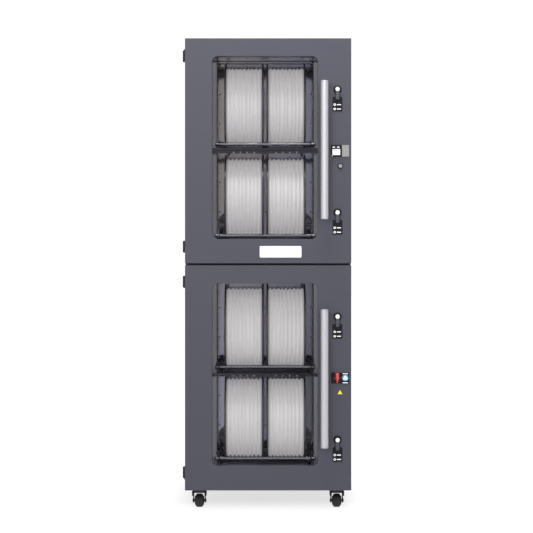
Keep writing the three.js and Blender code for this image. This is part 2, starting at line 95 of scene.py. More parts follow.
def window_of(level):
    """Lowest and highest corner of a door's window opening, from the pane less its overlap."""
    low, high, _ = span(f"door_glass_{level}")
    overlap = Vector((10 * MM, 0, 10 * MM))
    return low + overlap, high - overlap


# ------------------------------------------------------------------ colours
def srgb(code):
    """A hex colour code as linear red, green, blue and 1."""
    values = [int(code[i:i + 2], 16) / 255 for i in (0, 2, 4)]
    return tuple(v / 12.92 if v <= 0.04045 else ((v + 0.055) / 1.055) ** 2.4 for v in values) + (1.0,)


def scaled(colour, factor):
    """A colour made lighter or darker."""
    return tuple(min(1.0, c * factor) for c in colour[:3]) + (1.0,)


def colour_property(name, code, description):
    """A colour setting with a hex code as its default."""
    return FloatVectorProperty(
        name=name, description=description, subtype="COLOR", size=4, min=0, max=1, default=srgb(code)
    )


def length_property(name, default, description):
    """A length setting in metres."""
    return FloatProperty(
        name=name, description=description, default=default, min=0.0, unit="LENGTH", subtype="DISTANCE"
    )


# ------------------------------------------------------------------ settings
class DryerFinishes(bpy.types.PropertyGroup):
    coat: colour_property("Coat", "363642", "Powder coat of the doors and the body")
    frame_coat: colour_property("Frame coat", "3a393f", "Dark coat of the front frame and the base")
    # The two sheet tones are one polished metal: the warmer, lighter left tone is painted light, and the
    # cooler right tone is the same sheet in painted shade.
    lit_left_sheet: colour_property("Warm sheet", "a19a9b", "Polished chamber metal, left side")
    cool_sheet: colour_property("Cool sheet", "8c8c9e", "Polished chamber metal, right side")
    # The corner strips' pale tone is partly their own and partly painted light: their finish emits it.
    painted_light_strip: colour_property("Satin strip", "a3a2a9", "Pale strips in the chambers' corners")
    black: colour_property("Black", "1d1c1f", "Black steel and plastic")
    steel: colour_property("Stainless", "bdbcc0", "Ground stainless steel")
    filament: colour_property("Filament", "a3a1a2", "Wound filament")
    flange: colour_property("Flange", "35343a", "Spool flanges")
    red: colour_property("Red", "c83a30", "Main switch knob")
    glass: colour_property("Glass", "2b2b30", "Tint of the panes")
    speckle: FloatProperty(
        name="Speckle", description="How strongly the powder coat's grains vary", default=0.20, min=0, max=1
    )
    strand: length_property("Strand", 2.85 * MM, "Diameter of the filament")
    # The filament's glow is painted light: an emission of the coil's own tone, which brightens it evenly.
    filament_painted_glow: FloatProperty(name="Glow", description="Light scattered inside the filament", default=0.80, min=0)


class DryerSizes(bpy.types.PropertyGroup):
    door_edge: length_property("Door edge", 1.6 * MM, "Rounding of the doors' folded edges")
    body_edge: length_property("Body edge", 2.0 * MM, "Rounding of the body's folded edges")
    window_corner: length_property("Window corner", 24 * MM, "Radius of the windows' corners")
    facets: IntProperty(name="Facets", description="Steps round the handles' tubes", default=48, min=12)


class DryerSpools(bpy.types.PropertyGroup):
    ridges: IntProperty(name="Ridges", description="Humps across the wound filament", default=9, min=2)
    ridge_height: length_property("Ridge height", 8.5 * MM, "Depth of the valleys between humps")
    steps: IntProperty(name="Steps", description="Steps round a wound coil", default=96, min=24)
    seed: IntProperty(name="Seed", description="Start of the random variation", default=7)


class DryerStudio(bpy.types.PropertyGroup):
    camera_distance: length_property("Camera distance", 6.6, "From the doors' face to the camera")
    camera_height: length_property("Camera height", 1.038, "Camera above the floor")
    camera_left: length_property("Camera left", 6.4 * MM, "Camera left of the doors' middle")
    camera_shift: FloatProperty(
        name="Camera shift", description="Rise of the view, as a share of its width", default=-0.030957
    )
    lens: FloatProperty(name="Lens", description="Focal length", default=112.4, min=10, unit="CAMERA")
    sky: FloatProperty(name="Sky", description="Light from the even white surroundings", default=0.72)
    backdrop: FloatProperty(name="Backdrop", description="Surroundings as the camera sees them", default=1.05)
    floor_glow: FloatProperty(name="Floor glow", description="Light the floor gives by itself", default=0.86)
    key: FloatProperty(name="Key", description="Power of the front left light", default=130.0, unit="POWER")
    fill: FloatProperty(name="Fill", description="Power of the front right light", default=60.0, unit="POWER")
    overhead: FloatProperty(
        name="Overhead", description="Power of the light above", default=80.0, unit="POWER"
    )


# ------------------------------------------------------------------ shader maths
class Value:
    """A number in a shader: Python arithmetic on it adds Math nodes."""

    def __init__(self, finish, socket):
        self.finish = finish
        self.socket = socket

    def maths(self, operation, first, second=0.0):
        """The result of one Math node."""
        made = self.finish.node("ShaderNodeMath", {"operation": operation}, {0: first, 1: second})
        return Value(self.finish, made.outputs[0])

    def __add__(self, other):
        return self.maths("ADD", self, other)

    def __sub__(self, other):
        return self.maths("SUBTRACT", self, other)

    def __rsub__(self, other):
        return self.maths("SUBTRACT", other, self)

    def __mul__(self, other):
        return self.maths("MULTIPLY", self, other)

    __radd__ = __add__
    __rmul__ = __mul__

    def sine(self):
        return self.maths("SINE", self)

    def absolute(self):
        return self.maths("ABSOLUTE", self)


class Nodes:
    """A node tree and the one way in which its nodes are made."""

    def __init__(self, tree):
        self.tree = tree

    def node(self, kind, settings=None, sockets=None):
        """A node with its settings, then the values or links of its sockets."""
        made = self.tree.nodes.new(kind)
        for key, setting in (settings or {}).items():
            setattr(made, key, setting)
        self.fill(made, sockets or {})
        return made

    def fill(self, node, sockets):
        """Sets or links sockets of a node."""
        for key, value in sockets.items():
            self.join(node.inputs[key], value)

    def join(self, socket, value):
        """Links an output to a socket, or sets a constant on it."""
        if isinstance(value, Value):
            value = value.socket
        if isinstance(value, bpy.types.NodeSocket):
            self.tree.links.new(value, socket)
        else:
            socket.default_value = value


class Finish(Nodes):
    """One procedural material on a Principled shader."""

    def __init__(self, name, base, roughness, metallic=0.0):
        self.material = bpy.data.materials.new(name)
        self.material.use_nodes = True
        super().__init__(self.material.node_tree)
        self.shader = self.tree.nodes["Principled BSDF"]
        self.material.diffuse_color = tuple(base)
        self.set(**{"Base Color": tuple(base), "Roughness": roughness, "Metallic": metallic})
        self.place = self.node("ShaderNodeTexCoord").outputs["Object"]

    def set(self, **sockets):
        """Sets or links sockets of the shader."""
        self.fill(self.shader, sockets)

    def axis(self, name):
        """A point's X, Y or Z on the object."""
        parts = self.node("ShaderNodeSeparateXYZ", sockets={"Vector": self.place})
        return Value(self, parts.outputs[name])

    def stretched(self, scale):
        """The object's coordinates, scaled along each axis."""
        return self.node("ShaderNodeMapping", sockets={"Vector": self.place, "Scale": scale}).outputs[0]

    def clamp(self, value):
        """A value kept between 0 and 1."""
        return Value(self, self.node("ShaderNodeClamp", sockets={0: value}).outputs[0])

    def noise(self, scale, detail=2.0, place=None):
        """Noise between 0 and 1."""
        made = self.node("ShaderNodeTexNoise", sockets={
            "Vector": place or self.place, "Scale": scale, "Detail": detail, "Roughness": 0.5,
        })
        return Value(self, made.outputs["Fac"])

    def mix(self, factor, first, second):
        """A blend of two colours or of two colour outputs."""
        made = self.node("ShaderNodeMix", {"data_type": "RGBA"}, {0: factor, 6: first, 7: second})
        return made.outputs[2]

    def bump(self, height, strength, distance):
        """Relief by a height."""
        made = self.node("ShaderNodeBump", sockets={
            "Height": height, "Strength": strength, "Distance": distance,
        })
        self.set(Normal=made.outputs[0])


FINISHES = {}


def powder_coat(name, base, speckle, roughness=0.52):
    """Fine textured powder coat: grains of lighter and darker tone over an orange-peel surface."""
    coat = Finish(name, base, roughness)
    grains = coat.noise(1500, 2.0)
    cloud = coat.noise(150, 3.0)
    tone = (grains - 0.5) * (2.4 * speckle) + (cloud - 0.5) * (1.3 * speckle) + 0.5
    coat.set(**{
        "Base Color": coat.mix(tone, scaled(base, 0.72), scaled(base, 1.28)),
        "Roughness": coat.noise(700, 2.0) * 0.16 + (roughness - 0.08),
        "Specular IOR Level": 0.42,
    })
    coat.bump(coat.noise(1100, 1.5) + grains * 0.4, 0.22, 0.00035)
    return coat.material


def brushed_steel(name, base, roughness=0.26, along="z", metallic=1.0):
    """Ground stainless: fine lines along the part, with slow changes in polish."""
    steel = Finish(name, base, roughness, metallic)
    scale = {"z": (1.0, 1.0, 0.012), "x": (0.012, 1.0, 1.0), "y": (1.0, 0.012, 1.0)}[along]
    lines = steel.noise(2600, 2.0, steel.stretched(scale))
    slow = steel.noise(22, 2.0)
    steel.set(**{
        "Base Color": steel.mix(lines, scaled(base, 0.9), scaled(base, 1.06)),
        "Roughness": lines * 0.10 + slow * 0.04 + (roughness - 0.07),
    })
    steel.bump(lines, 0.06, 0.00005)
    return steel.material


def moulded_plastic(name, base, roughness=0.45, grain=0.18, gloss=0.45):
    """Moulded plastic with a fine spark-eroded texture."""
    plastic = Finish(name, base, roughness)
    fine = plastic.noise(2200, 2.0)
    slow = plastic.noise(40, 2.0)
    plastic.set(**{
        "Base Color": plastic.mix(slow, scaled(base, 0.9), scaled(base, 1.1)),
        "Roughness": fine * 0.12 + slow * 0.08 + (roughness - 0.1),
        "Specular IOR Level": gloss,
    })
    plastic.bump(fine, grain, 0.0002)
    return plastic.material


def black_steel(name, base):
    """Black coated steel with slightly polished patches."""
    steel = Finish(name, base, 0.42, 0.15)
    steel.set(**{"Specular IOR Level": 0.2})
    fine = steel.noise(1300, 2.0)
    rub = steel.noise(60, 4.0)
    steel.set(**{
        "Base Color": steel.mix(rub, scaled(base, 0.8), scaled(base, 1.5)),
        "Roughness": rub * 0.2 + fine * 0.1 + 0.28,
    })
    steel.bump(fine, 0.15, 0.0002)
    return steel.material


def polished_metal_with_painted_light(name, lit_left, cool):
    """Dark sheet that mirrors softly, with faint rolling lines; painted light makes it warmer and lighter on
    the left, and painted shade makes it darker on the right and low down.
    """
    sheet = Finish(name, cool, 0.12, 1.0)
    lines = sheet.noise(900, 2.0, sheet.stretched((1.0, 1.0, 0.02)))
    # Painted light and shade: the lit warm tone on the left, the shaded cool tone on the right.
    side = sheet.clamp(sheet.axis("X") * 4.0 + 0.5)
    # Painted shade: the sheet darkens low down.
    height = sheet.clamp(sheet.axis("Z") * 1.25 - 0.62)
    tone = side + (lines - 0.5) * 0.2
    high = sheet.mix(tone, lit_left, cool)
    low = sheet.mix(tone, scaled(cool, 0.76), scaled(cool, 0.30))
    sheet.set(**{"Base Color": sheet.mix(height, low, high), "Roughness": lines * 0.03 + 0.08})
    return sheet.material


def soft_rubber(name, base):
    """Matt rubber with a bloom of dust."""
    skin = Finish(name, base, 0.8)
    bloom = skin.noise(90, 4.0)
    skin.set(**{
        "Base Color": skin.mix(bloom, scaled(base, 0.8), scaled(base, 1.9)),
        "Roughness": bloom * 0.2 + 0.66,
        "Specular IOR Level": 0.35,
    })
    skin.bump(skin.noise(1700, 2.0), 0.25, 0.0003)
    return skin.material


def wound_filament_painted_glow(name, base, strand, filament_painted_glow):
    """Filament laid side by side: a strand-wide ribbing across the coil, brightened evenly by painted light:
    it emits its own tone, though filament gives no light.
    """
    coil = Finish(name, base, 0.42)
    across = coil.axis("X")
    ribbing = (across * (2 * math.pi / strand) + coil.noise(30, 1.0) * 3.0).sine().absolute()
    bands = coil.noise(1.0, 3.0, coil.stretched((240.0, 3.0, 3.0)))
    tone = bands * 0.7 + ribbing * 0.25
    shade = coil.mix(tone, scaled(base, 0.86), scaled(base, 1.08))
    coil.set(**{
        "Base Color": shade,
        "Roughness": bands * 0.15 + 0.40,
        "Specular IOR Level": 0.4,
        # Painted light: the coil emits its own tone.
        "Emission Color": shade,
        "Emission Strength": filament_painted_glow,
    })
    coil.bump(ribbing, 0.25, 0.0006)
    return coil.material


def tinted_glass(name, base):
    """Tinted pane: mostly clear, with the shader's own gloss and faint smears."""
    pane = Finish(name, base, 0.05)
    smears = pane.noise(5, 3.0, pane.stretched((1.0, 1.0, 2.5)))
    pane.set(**{
        "Alpha": smears * 0.03 + 0.05,
        "Roughness": smears * 0.05 + 0.03,
        "Specular IOR Level": 0.5,
    })
    return pane.material


def glowing(name, base, strength, roughness=0.3):
    """A face that emits its own tone: a real backlight on the display, painted light on the fan guards' wires
    and on the corner strips.
    """
    face = Finish(name, base, roughness)
    face.set(**{
        "Emission Color": face.mix(face.noise(300), scaled(base, 0.9), scaled(base, 1.0)),
        "Emission Strength": strength,
    })
    return face.material


def make_finishes(settings):
    """Every finish under its name in FINISHES."""
    # The chamber liner is the duct panel's sheet darkened to 0.45: painted shade on the walls and ceiling
    # that the light hardly reaches.
    liner = scaled(settings.cool_sheet, 0.45)
    FINISHES.update({
        "coat": powder_coat("powder_coat", settings.coat, settings.speckle),
        "frame": powder_coat("frame_coat", settings.frame_coat, settings.speckle, 0.5),
        # Duct panel: painted light on its left, painted shade on its right and low down.
        "interior": polished_metal_with_painted_light("polished_panel_painted_light", settings.lit_left_sheet, settings.cool_sheet),
        "liner": polished_metal_with_painted_light("polished_chamber_painted_shade", liner, liner),
        # Painted light: the guard wires emit a pale tone.
        "wire": glowing("guard_wire_painted_light", srgb("5f5e66"), 0.5, 0.5),
        # Painted light: the corner strips emit part of their pale tone.
        "painted_light_strip": glowing("corner_strip_painted_light", settings.painted_light_strip, 0.34),
        "steel": brushed_steel("ground_stainless", settings.steel),
        "steel_across": brushed_steel("ground_stainless_across", settings.steel, 0.34, "x"),
        "zinc": brushed_steel("zinc_plate", srgb("4a4a50"), 0.46, "x"),
        "handle": brushed_steel("handle_steel", srgb("adacb1"), 0.42, "z", 0.45),
        # Shelf: painted shade darkens the lower chamber's shelf.
        "shelf": polished_metal_with_painted_light("polished_shelf_painted_shade", srgb("46454c"), srgb("46454c")),
        "black": black_steel("black_steel", settings.black),
        "plastic": moulded_plastic("black_plastic", scaled(settings.black, 0.6), 0.42, gloss=0.12),
        "white": moulded_plastic("white_plastic", srgb("ecebea"), 0.35),
        "grey": moulded_plastic("grey_plastic", srgb("8d8c90"), 0.45),
        "silver": moulded_plastic("silver_plate", srgb("7f7e7b"), 0.5),
        "red": moulded_plastic("red_plastic", settings.red, 0.3, 0.08),
        "blue": moulded_plastic("blue_disc", srgb("4f9ed0"), 0.35),
        "yellow": moulded_plastic("yellow_plate", srgb("e6d21c"), 0.4),
        "rubber": soft_rubber("black_rubber", srgb("1b1b1c")),
        "filament": wound_filament_painted_glow("wound_filament_painted_glow", settings.filament, 2 * settings.strand, settings.filament_painted_glow),
        "flange": moulded_plastic("flange_plastic", settings.flange, 0.35),
        "bar": brushed_steel("bar_steel", srgb("75757f"), 0.34, "x"),
        "glass": tinted_glass("tinted_glass", settings.glass),
        "screen": glowing("display_face", srgb("dfe3e2"), 0.5),
    })


# ------------------------------------------------------------------ mesh tools
def edges_of(verts):
    """Every edge that meets these vertices."""
    return list({edge for vert in verts for edge in vert.link_edges})


def depth_edges(edges):
    """Those of the edges that run from front to back."""
    return [e for e in edges if abs(e.verts[0].co.y - e.verts[1].co.y) > TINY]


def round_edges(bm, edges, width, segments=2):
    """Rounds edges, if there are any and the width isn't zero."""
    if width > 0 and edges:
        bmesh.ops.bevel(
            bm, geom=list(edges), offset=width, offset_type="OFFSET", segments=segments,
            profile=0.5, affect="EDGES", clamp_overlap=True, material=-1,
        )


def cube_between(bm, low, high):
    """The vertices of a sharp block between two corners."""
    low, high = Vector(low), Vector(high)
    made = bmesh.ops.create_cube(bm, size=1.0)["verts"]
    bmesh.ops.scale(bm, vec=high - low, verts=made)
    bmesh.ops.translate(bm, vec=(low + high) / 2, verts=made)
    return made


def add_block(bm, low, high, edge=0.0, segments=2, turn=None):
    """A block between two corners with rounded edges, turned about its middle if asked."""
    made = cube_between(bm, low, high)
    if turn is not None:
        bmesh.ops.rotate(bm, cent=(Vector(low) + Vector(high)) / 2, matrix=turn, verts=made)
    round_edges(bm, edges_of(made), edge, segments)


def towards(direction):
    """The turn that takes +Z to a direction."""
    return Vector(direction).to_track_quat("Z", "Y").to_matrix()


def add_rod(bm, start, end, radius, facets=24, edge=0.0, end_radius=None, segments=2):
    """A round bar from one point to another with rounded rims."""
    start, end = Vector(start), Vector(end)
    along = end - start
    made = bmesh.ops.create_cone(
        bm, cap_ends=True, segments=facets, radius1=radius,
        radius2=radius if end_radius is None else end_radius, depth=along.length,
    )["verts"]
    rims = [e for e in edges_of(made) if abs((e.verts[0].co - e.verts[1].co).z) < 1e-7]
    bmesh.ops.rotate(bm, cent=(0, 0, 0), matrix=towards(along), verts=made)
    bmesh.ops.translate(bm, vec=(start + end) / 2, verts=made)
    round_edges(bm, rims, edge, segments)


def add_turned(bm, profile, centre, axis, facets=48):
    """A profile of (radius, along) points turned a full circle about an axis through centre."""
    start = [bm.verts.new((radius, 0.0, along)) for radius, along in profile]
    edges = [bm.edges.new(pair) for pair in zip(start, start[1:])]
    bmesh.ops.spin(
        bm, geom=start + edges, cent=(0, 0, 0), axis=(0, 0, 1), angle=2 * math.pi,
        steps=facets, use_merge=True, use_normal_flip=False,
    )
    made = connected(start)
    bmesh.ops.remove_doubles(bm, verts=made, dist=1e-6)
    made = [v for v in made if v.is_valid]
    bmesh.ops.rotate(bm, cent=(0, 0, 0), matrix=towards(axis), verts=made)
    bmesh.ops.translate(bm, vec=Vector(centre), verts=made)
    faces = list({f for v in made for f in v.link_faces})
    bmesh.ops.recalc_face_normals(bm, faces=faces)


def connected(seeds):
    """Every vertex joined by edges to the seeds."""
    found, queue = set(seeds), list(seeds)
    while queue:
        for edge in queue.pop().link_edges:
            for vert in edge.verts:
                if vert not in found:
                    found.add(vert)
                    queue.append(vert)
    return list(found)


def add_holed_plate(bm, low, high, hole_low, hole_high, corner, edge, outer_corner=0.0, segments=8):
    """A plate that faces the front, with a rounded opening right through it."""
    made = cube_between(bm, low, high)

    def plate_verts():
        return connected([v for v in made if v.is_valid][:1])

    def corner_edges(first, last):
        return [
            e for e in depth_edges(edges_of(plate_verts()))
            if min(abs(e.verts[0].co.x - x) for x in (first[0], last[0])) < TINY
            and min(abs(e.verts[0].co.z - z) for z in (first[2], last[2])) < TINY
        ]

    for place, normal in (
        ((hole_low[0], 0, 0), X_AXIS), ((hole_high[0], 0, 0), X_AXIS),
        ((0, 0, hole_low[2]), Z_AXIS), ((0, 0, hole_high[2]), Z_AXIS),
    ):
        verts = plate_verts()
        geometry = set(verts)
        for vert in verts:
            geometry.update(vert.link_edges)
            geometry.update(vert.link_faces)
        bmesh.ops.bisect_plane(bm, geom=list(geometry), plane_co=place, plane_no=normal, dist=1e-7)
    verts = plate_verts()
    inside = [
        f for f in {f for v in verts for f in v.link_faces}
        if abs(f.normal.y) > 0.9
        and hole_low[0] < f.calc_center_median().x < hole_high[0]
        and hole_low[2] < f.calc_center_median().z < hole_high[2]
    ]
    bmesh.ops.delete(bm, geom=inside, context="FACES")
    rim = [e for e in edges_of([v for v in verts if v.is_valid]) if e.is_boundary]
    bmesh.ops.bridge_loops(bm, edges=rim)
    flat = [
        e for e in edges_of(plate_verts())
        if len(e.link_faces) == 2 and e.calc_face_angle(0.0) < 1e-4
    ]
    bmesh.ops.dissolve_edges(bm, edges=flat, use_verts=True)
    if corner > 0:
        round_edges(bm, corner_edges(hole_low, hole_high), corner, segments)
    verts = plate_verts()
    if outer_corner > 0:
        round_edges(bm, corner_edges(low, high), outer_corner, segments)
        verts = connected([v for v in verts if v.is_valid][:1])
    sharp = [
        e for e in edges_of(verts)
        if len(e.link_faces) == 2 and e.calc_face_angle(0.0) > math.radians(40)
    ]
    round_edges(bm, sharp, edge, 2)


def add_screw(bm, place, direction, radius=3.5 * MM, height=1.8 * MM):
    """A low domed screw head with a hexagon socket."""
    profile = [
        (0.0, height * 0.35), (radius * 0.42, height * 0.35), (radius * 0.5, height),
        (radius * 0.8, height * 0.8), (radius, height * 0.3), (radius, 0.0),
    ]
    add_turned(bm, profile, place, direction, 12)


def finish_piece(name, bm, finish, body, replaces=(), angle=35):
    """Turns the mesh into a shaded object that rides on a body."""
    mesh = bpy.data.meshes.new(name)
    bm.to_mesh(mesh)
    bm.free()
    mesh.shade_smooth()
    mesh.set_sharp_from_angle(angle=math.radians(angle))
    mesh.materials.append(FINISHES[finish])
    piece = bpy.data.objects.new(name, mesh)
    bpy.context.scene.collection.objects.link(piece)
    normals = piece.modifiers.new("flat_faces", "WEIGHTED_NORMAL")
    normals.keep_sharp = True
    normals.weight = 100
    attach(piece, body)
    if replaces:
        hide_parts(*replaces)
    return piece


def dress(node, finish):
    """Gives a frame node its finish."""
    piece = frame["nodes"][node]
    piece.data.materials.clear()
    piece.data.materials.append(FINISHES[finish])
    return piece


class PieceOperator(bpy.types.Operator):
    """Base of the operators that build pieces."""
    bl_options = {"REGISTER", "UNDO"}

    def execute(self, context):
        if not FINISHES:
            make_finishes(context.scene.dryer_finishes)
        self.build(context.scene)
        return {"FINISHED"}


# ------------------------------------------------------------------ doors
class DRYER_OT_doors(PieceOperator):
    """Door shells with rounded windows, inner plates, panes, gaskets and seals"""
    bl_idname = "dryer.doors"
    bl_label = "Doors"

    def build(self, scene):
        sizes = scene.dryer_sizes
        for level in LEVELS:
            body = f"door_{level}"
            low, high, _ = span(f"door_panel_{level}")
            hole_low, hole_high = window_of(level)
            bm = bmesh.new()
            add_holed_plate(bm, low, high, hole_low, hole_high, sizes.window_corner, sizes.door_edge)
            finish_piece(f"door_shell_{level}", bm, "coat", body, [f"door_panel_{level}"])

            back_low, back_high, _ = span(f"door_inner_{level}")
            plate_low = Vector((back_low.x, high.y + 0.3 * MM, back_low.z))
            bm = bmesh.new()
            add_holed_plate(
                bm, plate_low, back_high, hole_low, hole_high, sizes.window_corner, 0.4 * MM
            )
            finish_piece(f"door_back_{level}", bm, "frame", body, [f"door_inner_{level}"])
            self.add_pane(level, body, sizes)
            self.add_seal(level, body)
            self.add_back_screws(level, body, back_low, back_high)

    def add_pane(self, level, body, sizes):
        """The pane, shaped to its window with a small gap all round."""
        low, high, _ = span(f"door_glass_{level}")
        hole_low, hole_high = window_of(level)
        fit = 0.4 * MM
        bm = bmesh.new()
        cube_between(
            bm, (hole_low.x + fit, low.y, hole_low.z + fit), (hole_high.x - fit, high.y, hole_high.z - fit)
        )
        round_edges(bm, depth_edges(bm.edges), sizes.window_corner - fit, 8)
        finish_piece(f"window_pane_{level}", bm, "glass", body, [f"door_glass_{level}"])

    def add_seal(self, level, body):
        """The rubber seal round the back of the door."""
        low, high, _ = span(f"door_seal_{level}")
        width = 16 * MM
        inner_low = low + Vector((width, 0, width))
        inner_high = high - Vector((width, 0, width))
        bm = bmesh.new()
        add_holed_plate(
            bm, low, high, inner_low, inner_high, 6 * MM, 1.6 * MM, outer_corner=14 * MM, segments=5
        )
        finish_piece(f"door_seal_strip_{level}", bm, "rubber", body, [f"door_seal_{level}"])

    def add_back_screws(self, level, body, low, high):
        """Two columns of screws on the inner plate."""
        inset = 16 * MM
        bm = bmesh.new()
        for x in (low.x + inset, high.x - inset):
            for z in evenly(low.z + inset, high.z - inset, 6):
                add_screw(bm, (x, high.y, z), Y_AXIS)
        finish_piece(f"door_back_screws_{level}", bm, "steel", body)


class DRYER_OT_handles(PieceOperator):
    """Stainless tube handles with domed ends, end rings and posts"""
    bl_idname = "dryer.handles"
    bl_label = "Handles"

    def build(self, scene):
        facets = scene.dryer_sizes.facets
        ring, dome, groove = 3.2 * MM, 2.0 * MM, 0.7 * MM
        post, post_inset, foot, foot_height = 7 * MM, 34 * MM, 11 * MM, 3.4 * MM
        foot_profile = [
            (0.0, 0.0), (foot, 0.0), (foot, 2 * MM), (foot - 1.5 * MM, foot_height), (0.0, foot_height),
        ]
        for level in LEVELS:
            body = f"door_{level}"
            low, high, middle = span(f"door_handle_{level}")
            radius = (high.x - low.x) / 2
            axis_y = low.y + radius
            length = high.z - low.z
            shoulder = ring + dome
            profile = [
                (0.0, 0.0), (radius * 0.55, 0.25 * MM), (radius * 0.86, dome * 0.6), (radius, dome * 1.6),
                (radius, shoulder), (radius - groove, shoulder + 0.3 * MM),
                (radius - groove, shoulder + 1.1 * MM), (radius, shoulder + 1.4 * MM),
            ]
            profile += [(r, length - z) for r, z in reversed(profile)]
            bm = bmesh.new()
            add_turned(bm, profile, (middle.x, axis_y, low.z), Z_AXIS, facets)
            finish_piece(f"handle_tube_{level}", bm, "handle", body, [f"door_handle_{level}"])
            bm = bmesh.new()
            for z in (low.z + post_inset, high.z - post_inset):
                end = (middle.x, high.y, z)
                add_rod(bm, (middle.x, axis_y + radius * 0.8, z), end, post, 24, 0.5 * MM)
                add_turned(bm, foot_profile, end, -Y_AXIS, 32)
            finish_piece(f"handle_posts_{level}", bm, "steel_across", body)


# ------------------------------------------------------------------ latches
class DRYER_OT_latches(PieceOperator):
    """Quarter-turn latches with their rings, caps, levers, cams and label plates"""
    bl_idname = "dryer.latches"
    bl_label = "Latches"

    def build(self, scene):
        face = door_face()
        for level in LEVELS:
            for end in ENDS:
                name = f"latch_{level}_{end}"
                low, high, _ = span(name)
                pivot = joint(f"{name}_turn")
                self.add_ring(name, f"door_{level}", pivot, face)
                self.add_plate(name, f"door_{level}", pivot, face)
                self.add_lever(name, low, high, pivot, face)

    def add_ring(self, name, body, pivot, face):
        """The fixed ring round the latch."""
        outer, inner, shaft, proud, floor = 16 * MM, 10.6 * MM, 5.6 * MM, 7.0 * MM, 2.0 * MM
        bm = bmesh.new()
        add_turned(bm, [
            (shaft, 0.0), (outer, 0.0), (outer, 3 * MM), (outer - 1.5 * MM, proud - 1 * MM),
            (outer - 3 * MM, proud), (inner, proud), (inner, floor), (shaft, floor), (shaft, 0.0),
        ], (pivot.x, face, pivot.z), -Y_AXIS, 40)
        finish_piece(f"{name}_ring", bm, "plastic", body)

    def add_plate(self, name, body, pivot, face):
        """The plate below the latch, with a small ring and a bar in each of two rows."""
        wide, tall, thick, below = 38.9 * MM, 58 * MM, 1.6 * MM, 29.5 * MM
        first_row, row_step, relief, bar = 31 * MM, 17.5 * MM, 0.3 * MM, 3.8 * MM
        inner, outer = 2.2 * MM, 4.6 * MM
        ring = [(inner, 0.0), (inner, relief), (outer, relief), (outer, 0.0), (inner, 0.0)]
        top = pivot.z - below
        left = pivot.x - wide / 2
        front = face - thick
        bm = bmesh.new()
        cube_between(bm, (left, front, top - tall), (left + wide, face, top))
        round_edges(bm, depth_edges(bm.edges), 5 * MM, 5)
        finish_piece(f"{name}_plate", bm, "plastic", body)
        bm = bmesh.new()
        for row in range(2):
            z = top - first_row - row_step * row
            add_turned(bm, ring, (left + 8.5 * MM, front, z), -Y_AXIS, 24)
            add_block(
                bm, (left + 17 * MM, front - relief, z - bar / 2), (left + 33 * MM, front, z + bar / 2),
                0.1 * MM, 1,
            )
        finish_piece(f"{name}_marks", bm, "white", body)

    def add_lever(self, name, low, high, pivot, face):
        """The lever with its boss, shaft and cam, and the pale cap over the boss."""
        wide, shaft, cam, cam_thick = 15.5 * MM, 5 * MM, 12 * MM, 4 * MM
        back, front = face - 8.2 * MM, face - 13.6 * MM
        cam_front = high.y - cam_thick
        cam_reach = min(2 * cam, pivot.z - low.z)
        bm = bmesh.new()
        add_block(bm, (pivot.x - wide / 2, front, low.z), (pivot.x + wide / 2, back, pivot.z), 2.2 * MM, 4)
        add_rod(bm, (pivot.x, front, pivot.z), (pivot.x, back, pivot.z), wide / 2 + 2 * MM, 32, 1.2 * MM)
        add_rod(
            bm, (pivot.x, back - 1 * MM, pivot.z), (pivot.x, cam_front, pivot.z), shaft, 20, 0.4 * MM
        )
        add_block(
            bm, (pivot.x - cam / 2, cam_front, pivot.z - cam_reach),
            (pivot.x + cam / 2, high.y, pivot.z + cam / 2), 0.8 * MM, 2,
        )
        finish_piece(f"{name}_lever", bm, "zinc", name, [name])
        proud, skirt, cap = face - low.y, 13 * MM, 8.2 * MM
        bm = bmesh.new()
        add_turned(bm, [
            (0.0, proud), (4.0 * MM, proud - 0.1 * MM), (6.8 * MM, proud - 1.0 * MM),
            (cap, proud - 2.4 * MM), (cap, skirt), (0.0, skirt),
        ], (pivot.x, face, pivot.z), -Y_AXIS, 32)
        finish_piece(f"{name}_cap", bm, "white", name)


